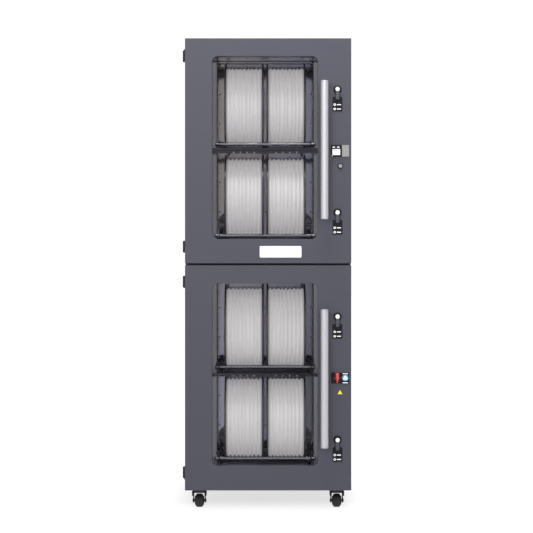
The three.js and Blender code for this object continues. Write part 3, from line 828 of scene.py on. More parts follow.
# ------------------------------------------------------------------ hinges
class DRYER_OT_hinges(PieceOperator):
    """Three-knuckle hinges with chamfered ends, leaves, pins and screws"""
    bl_idname = "dryer.hinges"
    bl_label = "Hinges"

    def build(self, scene):
        for level in LEVELS:
            for end in ENDS:
                self.add_leaf(level, end, "door")
                self.add_leaf(level, end, "body")

    def add_leaf(self, level, end, owner):
        """One leaf with its knuckles and screws; the body's leaf also carries the pin."""
        node = f"hinge_{owner}_leaf_{level}_{end}"
        body = f"door_{level}" if owner == "door" else "cabinet"
        low, high, _ = span(node)
        pin = joint(f"door_{level}_hinge")
        full_low, full_high, full_middle = span(f"hinge_body_leaf_{level}_{end}")
        third = (full_high.z - full_low.z) / 3
        knuckle, chamfer, blunt, gap = 5.5 * MM, 3.2 * MM, 0.5 * MM, 0.3 * MM
        leaf_out = pin.x + 2.2 * MM
        leaf_in = high.x
        bm = bmesh.new()
        if owner == "door":
            add_block(bm, (leaf_out, low.y, low.z), (leaf_in, pin.y - 8 * MM, high.z), 0.8 * MM, 2)
            stretch = (full_low.z + third + gap, full_high.z - third - gap)
            add_block(bm, (leaf_out, pin.y - 9 * MM, stretch[0]), (leaf_in, pin.y, stretch[1]), 0.3 * MM, 1)
            self.add_knuckle(bm, pin, stretch, knuckle, blunt, blunt)
        else:
            add_block(bm, (leaf_out, pin.y + 8 * MM, low.z), (leaf_in, high.y, high.z), 0.8 * MM, 2)
            lower = (full_low.z, full_low.z + third)
            upper = (full_high.z - third, full_high.z)
            for stretch, ends in ((lower, (chamfer, blunt)), (upper, (blunt, chamfer))):
                add_block(
                    bm, (leaf_out, pin.y, stretch[0] + ends[0]),
                    (leaf_out + 3 * MM, pin.y + 9 * MM, stretch[1]), 0.3 * MM, 1,
                )
                self.add_knuckle(bm, pin, stretch, knuckle, *ends)
            add_rod(bm, (pin.x, pin.y, full_low.z + 1 * MM), (pin.x, pin.y, full_high.z - 1 * MM), 3 * MM, 20)
        finish_piece(node.replace("_leaf", "_plate"), bm, "black", body, [node])
        inset, apart = 11 * MM, 28 * MM
        y = low.y + inset if owner == "door" else high.y - inset
        bm = bmesh.new()
        for z in (full_middle.z - apart / 2, full_middle.z + apart / 2):
            add_screw(bm, (leaf_out, y, z), -X_AXIS, 3.4 * MM, 1.4 * MM)
        finish_piece(node.replace("_leaf", "_screws"), bm, "black", body)

    def add_knuckle(self, bm, pin, stretch, radius, low_chamfer, high_chamfer):
        """A turned knuckle with a chamfer at each end."""
        length = stretch[1] - stretch[0]
        profile = [
            (0.0, 0.0), (radius - low_chamfer, 0.0), (radius, low_chamfer),
            (radius, length - high_chamfer), (radius - high_chamfer, length), (0.0, length),
        ]
        add_turned(bm, profile, (pin.x, pin.y, stretch[0]), Z_AXIS, 28)


# ------------------------------------------------------------------ controls
class DRYER_OT_controls(PieceOperator):
    """Display, push button, main switch, plates and small marks on the doors"""
    bl_idname = "dryer.controls"
    bl_label = "Controls"

    def build(self, scene):
        face = door_face()
        self.add_display(face)
        self.add_button(face)
        self.add_switch(face)
        self.add_badge(face)

    def plate(self, name, x_pair, z_pair, face, thick, finish, body, corner=1.5 * MM, slot="black_plastic"):
        """A flat plate on the door's face, rounded at its corners and along its front rim."""
        front = face - thick
        bm = bmesh.new()
        cube_between(bm, (x_pair[0], front, z_pair[0]), (x_pair[1], face, z_pair[1]))
        round_edges(bm, depth_edges(bm.edges), corner, 4)
        rims = [e for e in bm.edges if all(abs(v.co.y - front) < TINY for v in e.verts)]
        round_edges(bm, rims, min(0.6 * MM, thick * 0.3), 2)
        return finish_piece(name, bm, finish, body)

    def add_display(self, face):
        """The display with its bezel, keys and marks, and the slotted plate beside it."""
        low, high, _ = span("display_unit")
        body = "door_upper"
        bezel, lap, below, above = 5.6 * MM, 1 * MM, 6.5 * MM, 16 * MM
        bm = bmesh.new()
        add_holed_plate(
            bm, (low.x, low.y, low.z), (high.x, face - 0.3 * MM, high.z),
            (low.x + bezel, 0, low.z + below), (high.x - bezel, 0, high.z - above), 1 * MM, 0.9 * MM,
            outer_corner=2.5 * MM, segments=4,
        )
        finish_piece("display_bezel", bm, "plastic", body, ["display_unit"])
        self.plate(
            "display_screen", (low.x + bezel - lap, high.x - bezel + lap),
            (low.z + below - lap, high.z - above + lap), face - 0.4 * MM, 2.4 * MM, "screen", body, 1 * MM,
        )
        self.add_display_marks(face, low, high, body)
        gap, wide = 1.6 * MM, 28 * MM
        self.plate(
            "sensor_plate", (high.x + gap, high.x + gap + wide), (low.z, high.z), face, 3 * MM, "silver",
            body, 2 * MM, "stainless",
        )
        bm = bmesh.new()
        for index in range(4):
            z = low.z + (9 + 7 * index) * MM
            add_block(
                bm, (high.x + 7 * MM, face - 3.5 * MM, z), (high.x + 24 * MM, face - 2.9 * MM, z + 2.4 * MM),
                0.1 * MM, 1,
            )
        finish_piece("sensor_slots", bm, "grey", body)
        bm = bmesh.new()
        dot = (low.x + 4.2 * MM, low.y, low.z + 2.6 * MM)
        add_turned(bm, [(0.0, 1.2 * MM), (1.5 * MM, 1.0 * MM), (2.2 * MM, 0.0), (0.0, 0.0)], dot, -Y_AXIS, 16)
        finish_piece("status_light", bm, "yellow", body)

    def add_display_marks(self, face, low, high, body):
        """Two keys above the screen and three plain bars on it."""
        step = (high.x - low.x) / 4
        key_wide, key_tall = 10 * MM, 3.6 * MM
        bm = bmesh.new()
        for index in range(2):
            x = low.x + step * (1.0 + 1.7 * index)
            z = high.z - 8.6 * MM
            add_block(
                bm, (x - key_wide / 2, low.y - 0.4 * MM, z - key_tall / 2),
                (x + key_wide / 2, low.y + 0.2 * MM, z + key_tall / 2), 0.15 * MM, 1,
            )
        finish_piece("display_keys", bm, "white", body)
        start, longest, tall = low.x + 9 * MM, 24 * MM, 2.2 * MM
        bm = bmesh.new()
        for index, share in enumerate((0.8, 0.55, 0.68)):
            z = low.z + (10.5 + 6.5 * index) * MM
            add_block(
                bm, (start, face - 3.1 * MM, z), (start + longest * share, face - 2.8 * MM, z + tall)
            )
        finish_piece("display_marks", bm, "grey", body)

    def add_button(self, face):
        """The push button's ring and its domed cap."""
        low, _, middle = span("power_button")
        centre = (middle.x, face, middle.z)
        proud = face - low.y
        bore, ring, cap, sunk = 8.3 * MM, 11.5 * MM, 8 * MM, -6 * MM
        bm = bmesh.new()
        add_turned(bm, [
            (bore, 0.0), (ring, 0.0), (ring, 1.6 * MM), (ring - 1.1 * MM, 2.8 * MM), (bore, 2.2 * MM),
            (bore, 0.0),
        ], centre, -Y_AXIS, 40)
        finish_piece("button_ring", bm, "plastic", "door_upper")
        bm = bmesh.new()
        add_turned(bm, [
            (0.0, proud - 0.9 * MM), (3 * MM, proud - 0.7 * MM), (5.6 * MM, proud),
            (cap - 0.6 * MM, proud - 0.4 * MM), (cap, proud - 1.4 * MM), (cap, sunk), (0.0, sunk),
        ], centre, -Y_AXIS, 40)
        finish_piece("button_cap", bm, "silver", "power_button", ["power_button"])

    def add_switch(self, face):
        """The main switch with its dial and knob, and the plain triangle below it."""
        low, high, middle = span("main_switch_body")
        body = "door_lower"
        pivot = joint("main_switch_turn")
        bm = bmesh.new()
        add_block(bm, (low.x, low.y, low.z), (high.x, face - 0.3 * MM, high.z), 1.2 * MM, 3)
        finish_piece("main_switch_plate", bm, "plastic", body, ["main_switch_body"])
        proud, dial = face - low.y, 15.6 * MM
        bm = bmesh.new()
        add_turned(bm, [
            (0.0, proud), (dial, proud), (dial, proud + 0.14 * MM), (dial - 1.2 * MM, proud + 0.2 * MM),
            (0.0, proud + 0.2 * MM),
        ], (pivot.x, face, pivot.z), -Y_AXIS, 40)
        finish_piece("main_switch_dial", bm, "black", body)
        self.add_knob(face, pivot)
        self.add_supply_plate(face, high.x + 1.2 * MM, low.z, high.z, middle.z)
        triangle, below, thick = 11 * MM, 37 * MM, 1 * MM
        centre = Vector((pivot.x + triangle, face, low.z - below))
        bm = bmesh.new()
        add_rod(bm, centre, centre - Vector((0, thick, 0)), triangle, 3)
        finish_piece("caution_triangle", bm, "yellow", body)

    def add_supply_plate(self, face, left, bottom, top, middle):
        """The plate beside the main switch: a blue disc with three spots, and a bar above and below it."""
        body = "door_lower"
        wide, thick, disc, relief = 29.6 * MM, 2 * MM, 12.3 * MM, 0.5 * MM
        self.plate(
            "supply_plate", (left, left + wide), (bottom - 2 * MM, top), face, thick, "plastic", body, 2 * MM
        )
        centre = Vector((left + 14.6 * MM, face - thick, middle))
        bm = bmesh.new()
        add_turned(bm, [
            (0.0, relief), (disc - 0.7 * MM, relief), (disc, 0.0), (0.0, 0.0),
        ], centre, -Y_AXIS, 40)
        finish_piece("supply_disc", bm, "blue", body)
        spot, rise, bar = 4.2 * MM, 0.4 * MM, 3 * MM
        spot_profile = [(0.0, rise), (spot - relief, rise), (spot, 0.0), (0.0, 0.0)]
        bm = bmesh.new()
        for angle in (35, 155, 275):
            turn = Matrix.Rotation(math.radians(angle), 3, "Y")
            place = centre + turn @ Vector((4.6 * MM, 0, 0)) - Vector((0, relief, 0))
            add_turned(bm, spot_profile, place, -Y_AXIS, 20)
        for z in (top - 4.6 * MM, bottom + 2.6 * MM):
            add_block(
                bm, (left + 4 * MM, face - 2.3 * MM, z - bar / 2),
                (left + 25 * MM, face - 1.9 * MM, z + bar / 2),
            )
        finish_piece("supply_marks", bm, "white", body)

    def add_knob(self, face, pivot):
        """The knob: a round boss under a pointer that narrows downwards and forwards."""
        low, high, _ = span("main_switch_knob")
        back = face - 4.4 * MM
        boss, boss_height = 7.7 * MM, 10.4 * MM
        half = (high.x - low.x) / 2
        bm = bmesh.new()
        add_turned(bm, [
            (0.0, 0.0), (boss, 0.0), (boss, 9 * MM), (boss - 1.1 * MM, boss_height), (0.0, boss_height),
        ], (pivot.x, back, pivot.z), -Y_AXIS, 40)
        tall = (high.z - low.z) / 2
        made = cube_between(
            bm, (pivot.x - half, low.y, pivot.z - tall), (pivot.x + half, back, pivot.z + tall)
        )
        about = Matrix.Translation(-Vector((pivot.x, 0, pivot.z)))
        bottom = [v for v in made if v.co.z < pivot.z]
        bmesh.ops.scale(bm, vec=(0.32, 1, 1), space=about, verts=bottom)
        front = [v for v in made if v.co.y < back - 1 * MM]
        bmesh.ops.scale(bm, vec=(0.74, 1, 0.9), space=about, verts=front)
        round_edges(bm, edges_of(made), 1.8 * MM, 3)
        node = "main_switch_knob"
        finish_piece("main_switch_pointer", bm, "red", node, [node])

    def add_badge(self, face):
        """The blank plate under the upper window."""
        _, high, middle = span("door_panel_upper")
        left, wide, tall, below = middle.x - 33 * MM, 165 * MM, 45 * MM, 824.5 * MM
        top = high.z - below
        self.plate(
            "badge_plate", (left, left + wide), (top - tall, top), face, 1.2 * MM, "white", "door_upper",
            3 * MM, "paint",
        )


# ------------------------------------------------------------------ cabinet
class DRYER_OT_cabinet(PieceOperator):
    """Body shell, rear panel with louvres and inlet, chambers, ducts and base"""
    bl_idname = "dryer.cabinet"
    bl_label = "Cabinet"

    def build(self, scene):
        sizes = scene.dryer_sizes
        self.add_shell(sizes)
        self.add_rear()
        for node in ("front_frame", "base_frame"):
            dress(node, "frame")
        for level in LEVELS:
            dress(f"liner_{level}", "liner")
            dress(f"duct_panel_{level}", "interior")
            dress(f"heater_{level}", "steel_across")
            self.add_chamber_trim(level)

    def add_shell(self, sizes):
        """The folded top and sides, with a row of screws along each edge of the sides."""
        low, high, _ = span("outer_shell")
        bm = bmesh.new()
        cube_between(bm, low, high)
        open_sides = [f for f in bm.faces if abs(f.normal.y) > 0.9 or f.normal.z < -0.9]
        bmesh.ops.delete(bm, geom=open_sides, context="FACES")
        folds = [e for e in bm.edges if len(e.link_faces) == 2]
        round_edges(bm, folds, sizes.body_edge * 2, 5)
        piece = finish_piece("body_shell", bm, "coat", "cabinet", ["outer_shell"], 50)
        wall = piece.modifiers.new("wall", "SOLIDIFY")
        wall.thickness = 2 * MM
        wall.offset = -1
        sunk, height = 1.7 * MM, 1.6 * MM
        bm = bmesh.new()
        for share in (0.06, 0.27, 0.48, 0.69, 0.94):
            z = low.z + (high.z - low.z) * share
            for y in (low.y + 22 * MM, high.y - 16 * MM):
                add_screw(bm, (low.x + sunk, y, z), -X_AXIS, height=height)
                add_screw(bm, (high.x - sunk, y, z), X_AXIS, height=height)
        finish_piece("side_screws", bm, "steel", "cabinet")

    def add_rear(self):
        """The rear cover with its louvres, screws and supply inlet."""
        low, high, middle = span("rear_panel")
        sheet = 2 * MM
        inlet_low = Vector((middle.x - 224 * MM, 0, low.z + 56 * MM))
        inlet_high = inlet_low + Vector((48 * MM, 0, 28 * MM))
        bm = bmesh.new()
        add_holed_plate(
            bm, (low.x, high.y - sheet, low.z), high, inlet_low, inlet_high, 3 * MM, 0.5 * MM, segments=3
        )
        finish_piece("rear_cover", bm, "coat", "cabinet", ["rear_panel"])
        self.add_inlet(inlet_low, inlet_high, high.y)
        bm = bmesh.new()
        slats, pitch, half_wide, half_tall = 14, 13 * MM, 130 * MM, 4 * MM
        turn = Matrix.Rotation(math.radians(24), 3, "X")
        for share in (0.27, 0.80):
            centre_z = low.z + share * (high.z - low.z)
            for index in range(slats):
                z = centre_z + (index - slats / 2) * pitch
                add_block(
                    bm, (middle.x - half_wide, high.y - 3.6 * MM, z - half_tall),
                    (middle.x + half_wide, high.y - sheet, z + half_tall), 0.5 * MM, 2, turn,
                )
        finish_piece("rear_louvres", bm, "coat", "cabinet")
        bm = bmesh.new()
        inset = 13 * MM
        for z in evenly(low.z + inset, high.z - inset, 9):
            for x in (low.x + inset, high.x - inset):
                add_screw(bm, (x, high.y - 1.9 * MM, z), Y_AXIS)
        finish_piece("rear_screws", bm, "steel", "cabinet")

    def add_inlet(self, low, high, back):
        """The sunk supply inlet: a shroud with a floor and three flat pins."""
        deep, floor, wall = 16 * MM, 3 * MM, 2 * MM
        bm = bmesh.new()
        add_block(bm, (low.x, back - deep - floor, low.z), (high.x, back - deep, high.z), 0.4 * MM, 1)
        add_holed_plate(
            bm, (low.x, back - deep, low.z), (high.x, back - 0.2 * MM, high.z),
            (low.x + wall, 0, low.z + wall), (high.x - wall, 0, high.z - wall), 2 * MM, 0.3 * MM, segments=3,
        )
        finish_piece("inlet_shroud", bm, "plastic", "cabinet")
        bm = bmesh.new()
        middle = (low + high) / 2
        half_thick, half_tall, apart, raised = 1 * MM, 3 * MM, 9 * MM, 3 * MM
        for place, rise in ((-apart, 0), (0, raised), (apart, 0)):
            x, z = middle.x + place, middle.z + rise
            add_block(
                bm, (x - half_thick, back - deep, z - half_tall),
                (x + half_thick, back - 5 * MM, z + half_tall), 0.4 * MM, 2,
            )
        finish_piece("inlet_pins", bm, "steel_across", "cabinet")

    def add_chamber_trim(self, level):
        """Screws round the duct panel, then the strips and ceiling parts beside it."""
        low, high, middle = span(f"duct_panel_{level}")
        front = low.y
        bm = bmesh.new()
        inset = 9 * MM
        rows = evenly(low.z + inset, high.z - inset, 7)
        for z in rows:
            for x in (low.x + inset, high.x - inset):
                add_screw(bm, (x, front, z), -Y_AXIS, 3.2 * MM, 1.6 * MM)
        for z in rows[1::2]:
            add_screw(bm, (middle.x, front, z), -Y_AXIS, 3.2 * MM, 1.6 * MM)
        finish_piece(f"duct_screws_{level}", bm, "black", "cabinet")
        self.add_corner_strips(level, low, high)
        self.add_ceiling_screws(level)

    def add_corner_strips(self, level, low, high):
        """Strips between the duct panel and the chamber's sides, pale partly from their own tone and partly
        from painted light that they emit.
        """
        liner_low, liner_high, _ = span(f"liner_{level}")
        wall, gap, thick = 3.3 * MM, 4 * MM, 2 * MM
        bm = bmesh.new()
        for x_pair in ((liner_low.x + wall, low.x - gap), (high.x + gap, liner_high.x - wall)):
            add_block(
                bm, (x_pair[0], low.y, low.z), (x_pair[1], low.y + thick, high.z), 0.4 * MM, 2
            )
        finish_piece(f"corner_strips_{level}", bm, "painted_light_strip", "cabinet")

    def add_ceiling_screws(self, level):
        """A row of screws and a folded lip along the chamber's ceiling."""
        low, high, middle = span(f"liner_{level}")
        wall = 3 * MM
        ceiling = high.z - wall
        spools = [joint(f"spool_{level}_high_{side}_spin") for side in SIDES]
        apart = spools[1].x - spools[0].x
        bm = bmesh.new()
        outer = apart * 0.4
        for x in (spools[0].x - outer, middle.x - 8 * MM, middle.x + 8 * MM, spools[1].x + outer):
            add_screw(bm, (x, spools[0].y - 45 * MM, ceiling), -Z_AXIS, 3.6 * MM, 2.4 * MM)
        finish_piece(f"ceiling_screws_{level}", bm, "black", "cabinet")
        bm = bmesh.new()
        add_block(
            bm, (low.x + wall, spools[0].y + 148 * MM, ceiling - 2 * MM),
            (high.x - wall, spools[0].y + 150 * MM, ceiling), 0.3 * MM, 2,
        )
        finish_piece(f"ceiling_lip_{level}", bm, "black", "cabinet")


# ------------------------------------------------------------------ racks
class DRYER_OT_racks(PieceOperator):
    """Spool racks: round bars with domed ends on side arms"""
    bl_idname = "dryer.racks"
    bl_label = "Spool racks"

    def build(self, scene):
        for level in LEVELS:
            for row in ROWS:
                node = f"spool_rack_{level}_{row}"
                self.add_bars(node)
                self.add_arms(node)
            self.add_shelf(level)

    def bar_places(self, node):
        """Where a rack's two bars lie, before and behind its spools' axis."""
        spool = joint(f"{node.replace('rack_', '')}_left_spin")
        reach = 100 * MM
        return spool.y - reach, spool.y + reach

    def add_bars(self, node):
        """Two round bars with domed ends."""
        low, high, middle = span(node)
        length = high.x - low.x
        radius, dome = 8 * MM, 5 * MM
        profile = [(0.0, 0.0), (radius * 0.6, 0.9 * MM), (radius * 0.9, 2.6 * MM), (radius, dome)]
        profile += [(r, length - x) for r, x in reversed(profile)]
        bm = bmesh.new()
        for y in self.bar_places(node):
            add_turned(bm, profile, (low.x, y, middle.z), X_AXIS, 32)
        finish_piece(f"{node}_bars", bm, "bar", "cabinet", [node])

    def add_arms(self, node):
        """Flat arms from the duct panel, each with a screwed foot."""
        low, high, middle = span(node)
        reach, foot = 185 * MM, 4 * MM
        arm_half = Vector((2 * MM, 0, 15 * MM))
        foot_half = Vector((8 * MM, 0, 30 * MM))
        bm = bmesh.new()
        for side in (-1, 1):
            x = middle.x + side * reach
            front = Vector((x, low.y, middle.z))
            back = Vector((x, high.y, middle.z))
            foot_front = back - Vector((0, foot, 0))
            add_block(bm, front - arm_half, back + arm_half, 1 * MM, 2)
            add_block(bm, foot_front - foot_half, back + foot_half, 0.8 * MM, 2)
            for offset in (-22 * MM, 22 * MM):
                add_screw(bm, foot_front + Vector((0, 0, offset)), -Y_AXIS, 3.4 * MM)
        finish_piece(f"{node}_arms", bm, "black", "cabinet")

    def add_shelf(self, level):
        """A thin polished plate between the two rows, with pale buttons and dark screws below."""
        low, high, _ = span(f"liner_{level}")
        back = span(f"duct_panel_{level}")[0].y - 5 * MM
        upper = span(f"spool_{level}_high_left")[0].z
        lower = span(f"spool_{level}_low_left")[1].z
        z = (upper + lower) / 2
        wall, thick, lip = 3.3 * MM, 2 * MM, 3 * MM
        rise, drop = 9 * MM, (13 if level == "upper" else 5) * MM
        front = low.y + 4 * MM
        bm = bmesh.new()
        add_block(bm, (low.x + wall, front, z - thick / 2), (high.x - wall, back, z + thick / 2), 0.4 * MM, 2)
        add_block(bm, (low.x + wall, front, z - drop), (high.x - wall, front + lip, z + rise), 0.8 * MM, 2)
        finish_piece(f"row_shelf_{level}", bm, "shelf", "cabinet")
        left, right = [joint(f"spool_{level}_high_{side}_spin").x for side in SIDES]
        step, below = 27.5 * MM, 4 * MM
        bm = bmesh.new()
        for spool in (left, right):
            for place in (-1.5, -0.5, 0.5, 1.5):
                add_screw(bm, (spool + place * step, front, z - drop + below), -Y_AXIS, 2.6 * MM, 1.4 * MM)
        finish_piece(f"shelf_buttons_{level}", bm, "grey", "cabinet")
        outwards = 58 * MM
        bm = bmesh.new()
        for x in (left - outwards, (left + right) / 2, right + outwards):
            add_screw(bm, (x, front + 6 * MM, z - thick / 2), -Z_AXIS, 4.5 * MM, drop + below)
        finish_piece(f"shelf_screws_{level}", bm, "black", "cabinet")


# ------------------------------------------------------------------ spools
FLANGE_THICK = 7 * MM
# Places across one hump of a wound coil, and how high each stands.
COIL_HUMP = ((0.02, 0.0), (0.16, 0.45), (0.36, 0.82), (0.56, 1.0), (0.72, 0.93), (0.86, 0.55), (0.96, 0.12))


class DRYER_OT_spools(PieceOperator):
    """Spools: dark moulded flanges and uneven wound coils of filament"""
    bl_idname = "dryer.spools"
    bl_label = "Spools"

    def build(self, scene):
        settings = scene.dryer_spools
        dice = random.Random(settings.seed)
        for level in LEVELS:
            for row in ROWS:
                for side in SIDES:
                    node = f"spool_{level}_{row}_{side}"
                    self.add_flanges(node)
                    self.add_coil(node, settings, dice)

    def add_flanges(self, node):
        """Two recessed flanges on a hollow hub."""
        low, high, middle = span(node)
        radius = (high.z - low.z) / 2
        width = high.x - low.x
        thick, bore, hub, wall = FLANGE_THICK, 28 * MM, 96 * MM, 4 * MM
        lip, recess = 1.6 * MM, 2.2 * MM
        rim = [
            (bore, 0.0), (bore + 14 * MM, 0.0), (bore + 16 * MM, recess), (radius - 26 * MM, recess),
            (radius - 22 * MM, 0.4 * MM), (radius - lip, 0.0), (radius, lip), (radius, thick - lip),
            (radius - lip, thick), (hub, thick),
        ]
        profile = rim + [(r, width - x) for r, x in reversed(rim)]
        profile += [(bore, width - wall), (hub - wall, width - wall), (hub - wall, wall), (bore, wall)]
        profile.append(profile[0])
        bm = bmesh.new()
        add_turned(bm, profile, (low.x, middle.y, middle.z), X_AXIS, 64)
        finish_piece(f"{node}_flanges", bm, "flange", node, [node], 30)

    def add_coil(self, node, settings, dice):
        """The wound coil: uneven humps from flange to flange."""
        low, high, middle = span(node)
        top, hub, fit = 160 * MM, 97 * MM, 0.05 * MM
        width = high.x - low.x - 2 * FLANGE_THICK
        pitch = width / settings.ridges
        cuts = [index + (dice.uniform(-0.16, 0.16) if 0 < index < settings.ridges else 0.0)
                for index in range(settings.ridges + 1)]
        depths = [settings.ridge_height * dice.uniform(0.7, 1.25) for _ in range(settings.ridges)]
        profile = [(hub, fit)]
        for index in range(settings.ridges):
            for share, rise in COIL_HUMP:
                x = (cuts[index] + share * (cuts[index + 1] - cuts[index])) * pitch
                profile.append((top - depths[index] * (1 - rise), min(max(x, fit), width - fit)))
        profile.append((hub, width - fit))
        bm = bmesh.new()
        add_turned(bm, profile, (low.x + FLANGE_THICK, middle.y, middle.z), X_AXIS, settings.steps)
        finish_piece(f"{node}_coil", bm, "filament", node, (), 60)


# ------------------------------------------------------------------ fans
class DRYER_OT_fans(PieceOperator):
    """Fan rotors, frames behind the duct panel and mesh guards in front"""
    bl_idname = "dryer.fans"
    bl_label = "Fans"

    def build(self, scene):
        for level in LEVELS:
            for side in SIDES:
                node = f"fan_rotor_{level}_{side}"
                self.add_rotor(node)
                self.add_frame(node, level)
                self.add_guard(node, level)

    def add_rotor(self, node):
        """A hub with seven twisted blades."""
        low, high, _ = span(node)
        centre = joint(f"{node}_spin")
        deep = high.y - low.y
        hub, blades, chord, inner, outer = 19 * MM, 7, 17 * MM, 18.25 * MM, 44.75 * MM
        bm = bmesh.new()
        add_turned(bm, [
            (0.0, deep), (hub - 4 * MM, deep), (hub - 0.4 * MM, deep - 2.5 * MM), (hub, 0.6 * MM),
            (hub - 1 * MM, 0.0), (0.0, 0.0),
        ], (centre.x, high.y, centre.z), -Y_AXIS, 36)
        for index in range(blades):
            made = bmesh.ops.create_grid(bm, x_segments=6, y_segments=2, size=0.5)["verts"]
            bmesh.ops.scale(bm, vec=(outer - inner, chord, 1), verts=made)
            bmesh.ops.translate(bm, vec=((inner + outer) / 2, 0, 0), verts=made)
            for vert in made:
                twist = math.radians(52 - 700 * (vert.co.x - 18 * MM))
                bmesh.ops.rotate(
                    bm, cent=(vert.co.x, 0, 0), matrix=Matrix.Rotation(twist, 3, "X"), verts=[vert]
                )
            faces = list({f for v in made for f in v.link_faces})
            thick = bmesh.ops.solidify(bm, geom=faces, thickness=1.4 * MM)["geom"]
            whole = list(set(made) | {g for g in thick if isinstance(g, bmesh.types.BMVert)})
            bmesh.ops.rotate(bm, cent=(0, 0, 0), matrix=Matrix.Rotation(math.pi / 2, 3, "X"), verts=whole)
            turn = Matrix.Rotation(2 * math.pi * index / blades, 3, "Y")
            bmesh.ops.rotate(bm, cent=(0, 0, 0), matrix=turn, verts=whole)
            bmesh.ops.translate(bm, vec=(centre.x, (low.y + high.y) / 2, centre.z), verts=whole)
        bmesh.ops.recalc_face_normals(bm, faces=bm.faces)
        finish_piece(f"{node}_blades", bm, "plastic", node, [node])

    def add_frame(self, node, level):
        """A round duct behind the panel, with four struts to the motor."""
        centre = joint(f"{node}_spin")
        start = span(f"duct_panel_{level}")[0].y + 2.2 * MM
        outer, inner, deep = 51.5 * MM, 49.5 * MM, 22 * MM
        bm = bmesh.new()
        add_turned(bm, [
            (inner, 0.0), (outer, 0.0), (outer, deep), (inner, deep), (inner, 0.0),
        ], (centre.x, start, centre.z), Y_AXIS, 48)
        motor = Vector((centre.x, start + deep - 2 * MM, centre.z))
        for quarter in range(4):
            turn = Matrix.Rotation(math.radians(45 + 90 * quarter), 3, "Y")
            tip = motor + turn @ Vector((outer - 0.5 * MM, 0, 0))
            hub = motor + turn @ Vector((15 * MM, 0, 0))
            add_rod(bm, hub, tip, 1.6 * MM, 8)
        finish_piece(f"{node.replace('rotor', 'frame')}", bm, "plastic", "cabinet")

    def add_guard(self, node, level):
        """A ring with slanting wires and one bar across."""
        centre = joint(f"{node}_spin")
        front = span(f"duct_panel_{level}")[0].y
        radius, pitch, wire, half_ring = 50 * MM, 5.0 * MM, 0.8 * MM, 1.2 * MM
        place = Vector((centre.x, front - 1.4 * MM, centre.z))
        slant = Matrix.Rotation(math.radians(45), 3, "Y")
        count = int(radius / pitch)
        bm = bmesh.new()
        for index in range(-count + 1, count):
            offset = index * pitch
            half = math.sqrt(radius ** 2 - offset ** 2)
            start = place + slant @ Vector((offset, -0.5 * MM, -half))
            end = place + slant @ Vector((offset, -0.5 * MM, half))
            add_rod(bm, start, end, wire, 6)
        inner, outer = radius - 1 * MM, radius + 3.5 * MM
        add_turned(bm, [
            (inner, -half_ring), (outer, -half_ring), (outer, half_ring), (inner, half_ring),
            (inner, -half_ring),
        ], place, -Y_AXIS, 56)
        left = place + Vector((-radius, -0.9 * MM, 0))
        right = place + Vector((radius, -0.9 * MM, 0))
        add_rod(bm, left, right, 1.5 * MM, 8)
        # The guard's finish emits light: painted light that makes the wires pale.
        finish_piece(f"{node.replace('rotor', 'guard')}", bm, "wire", "cabinet")


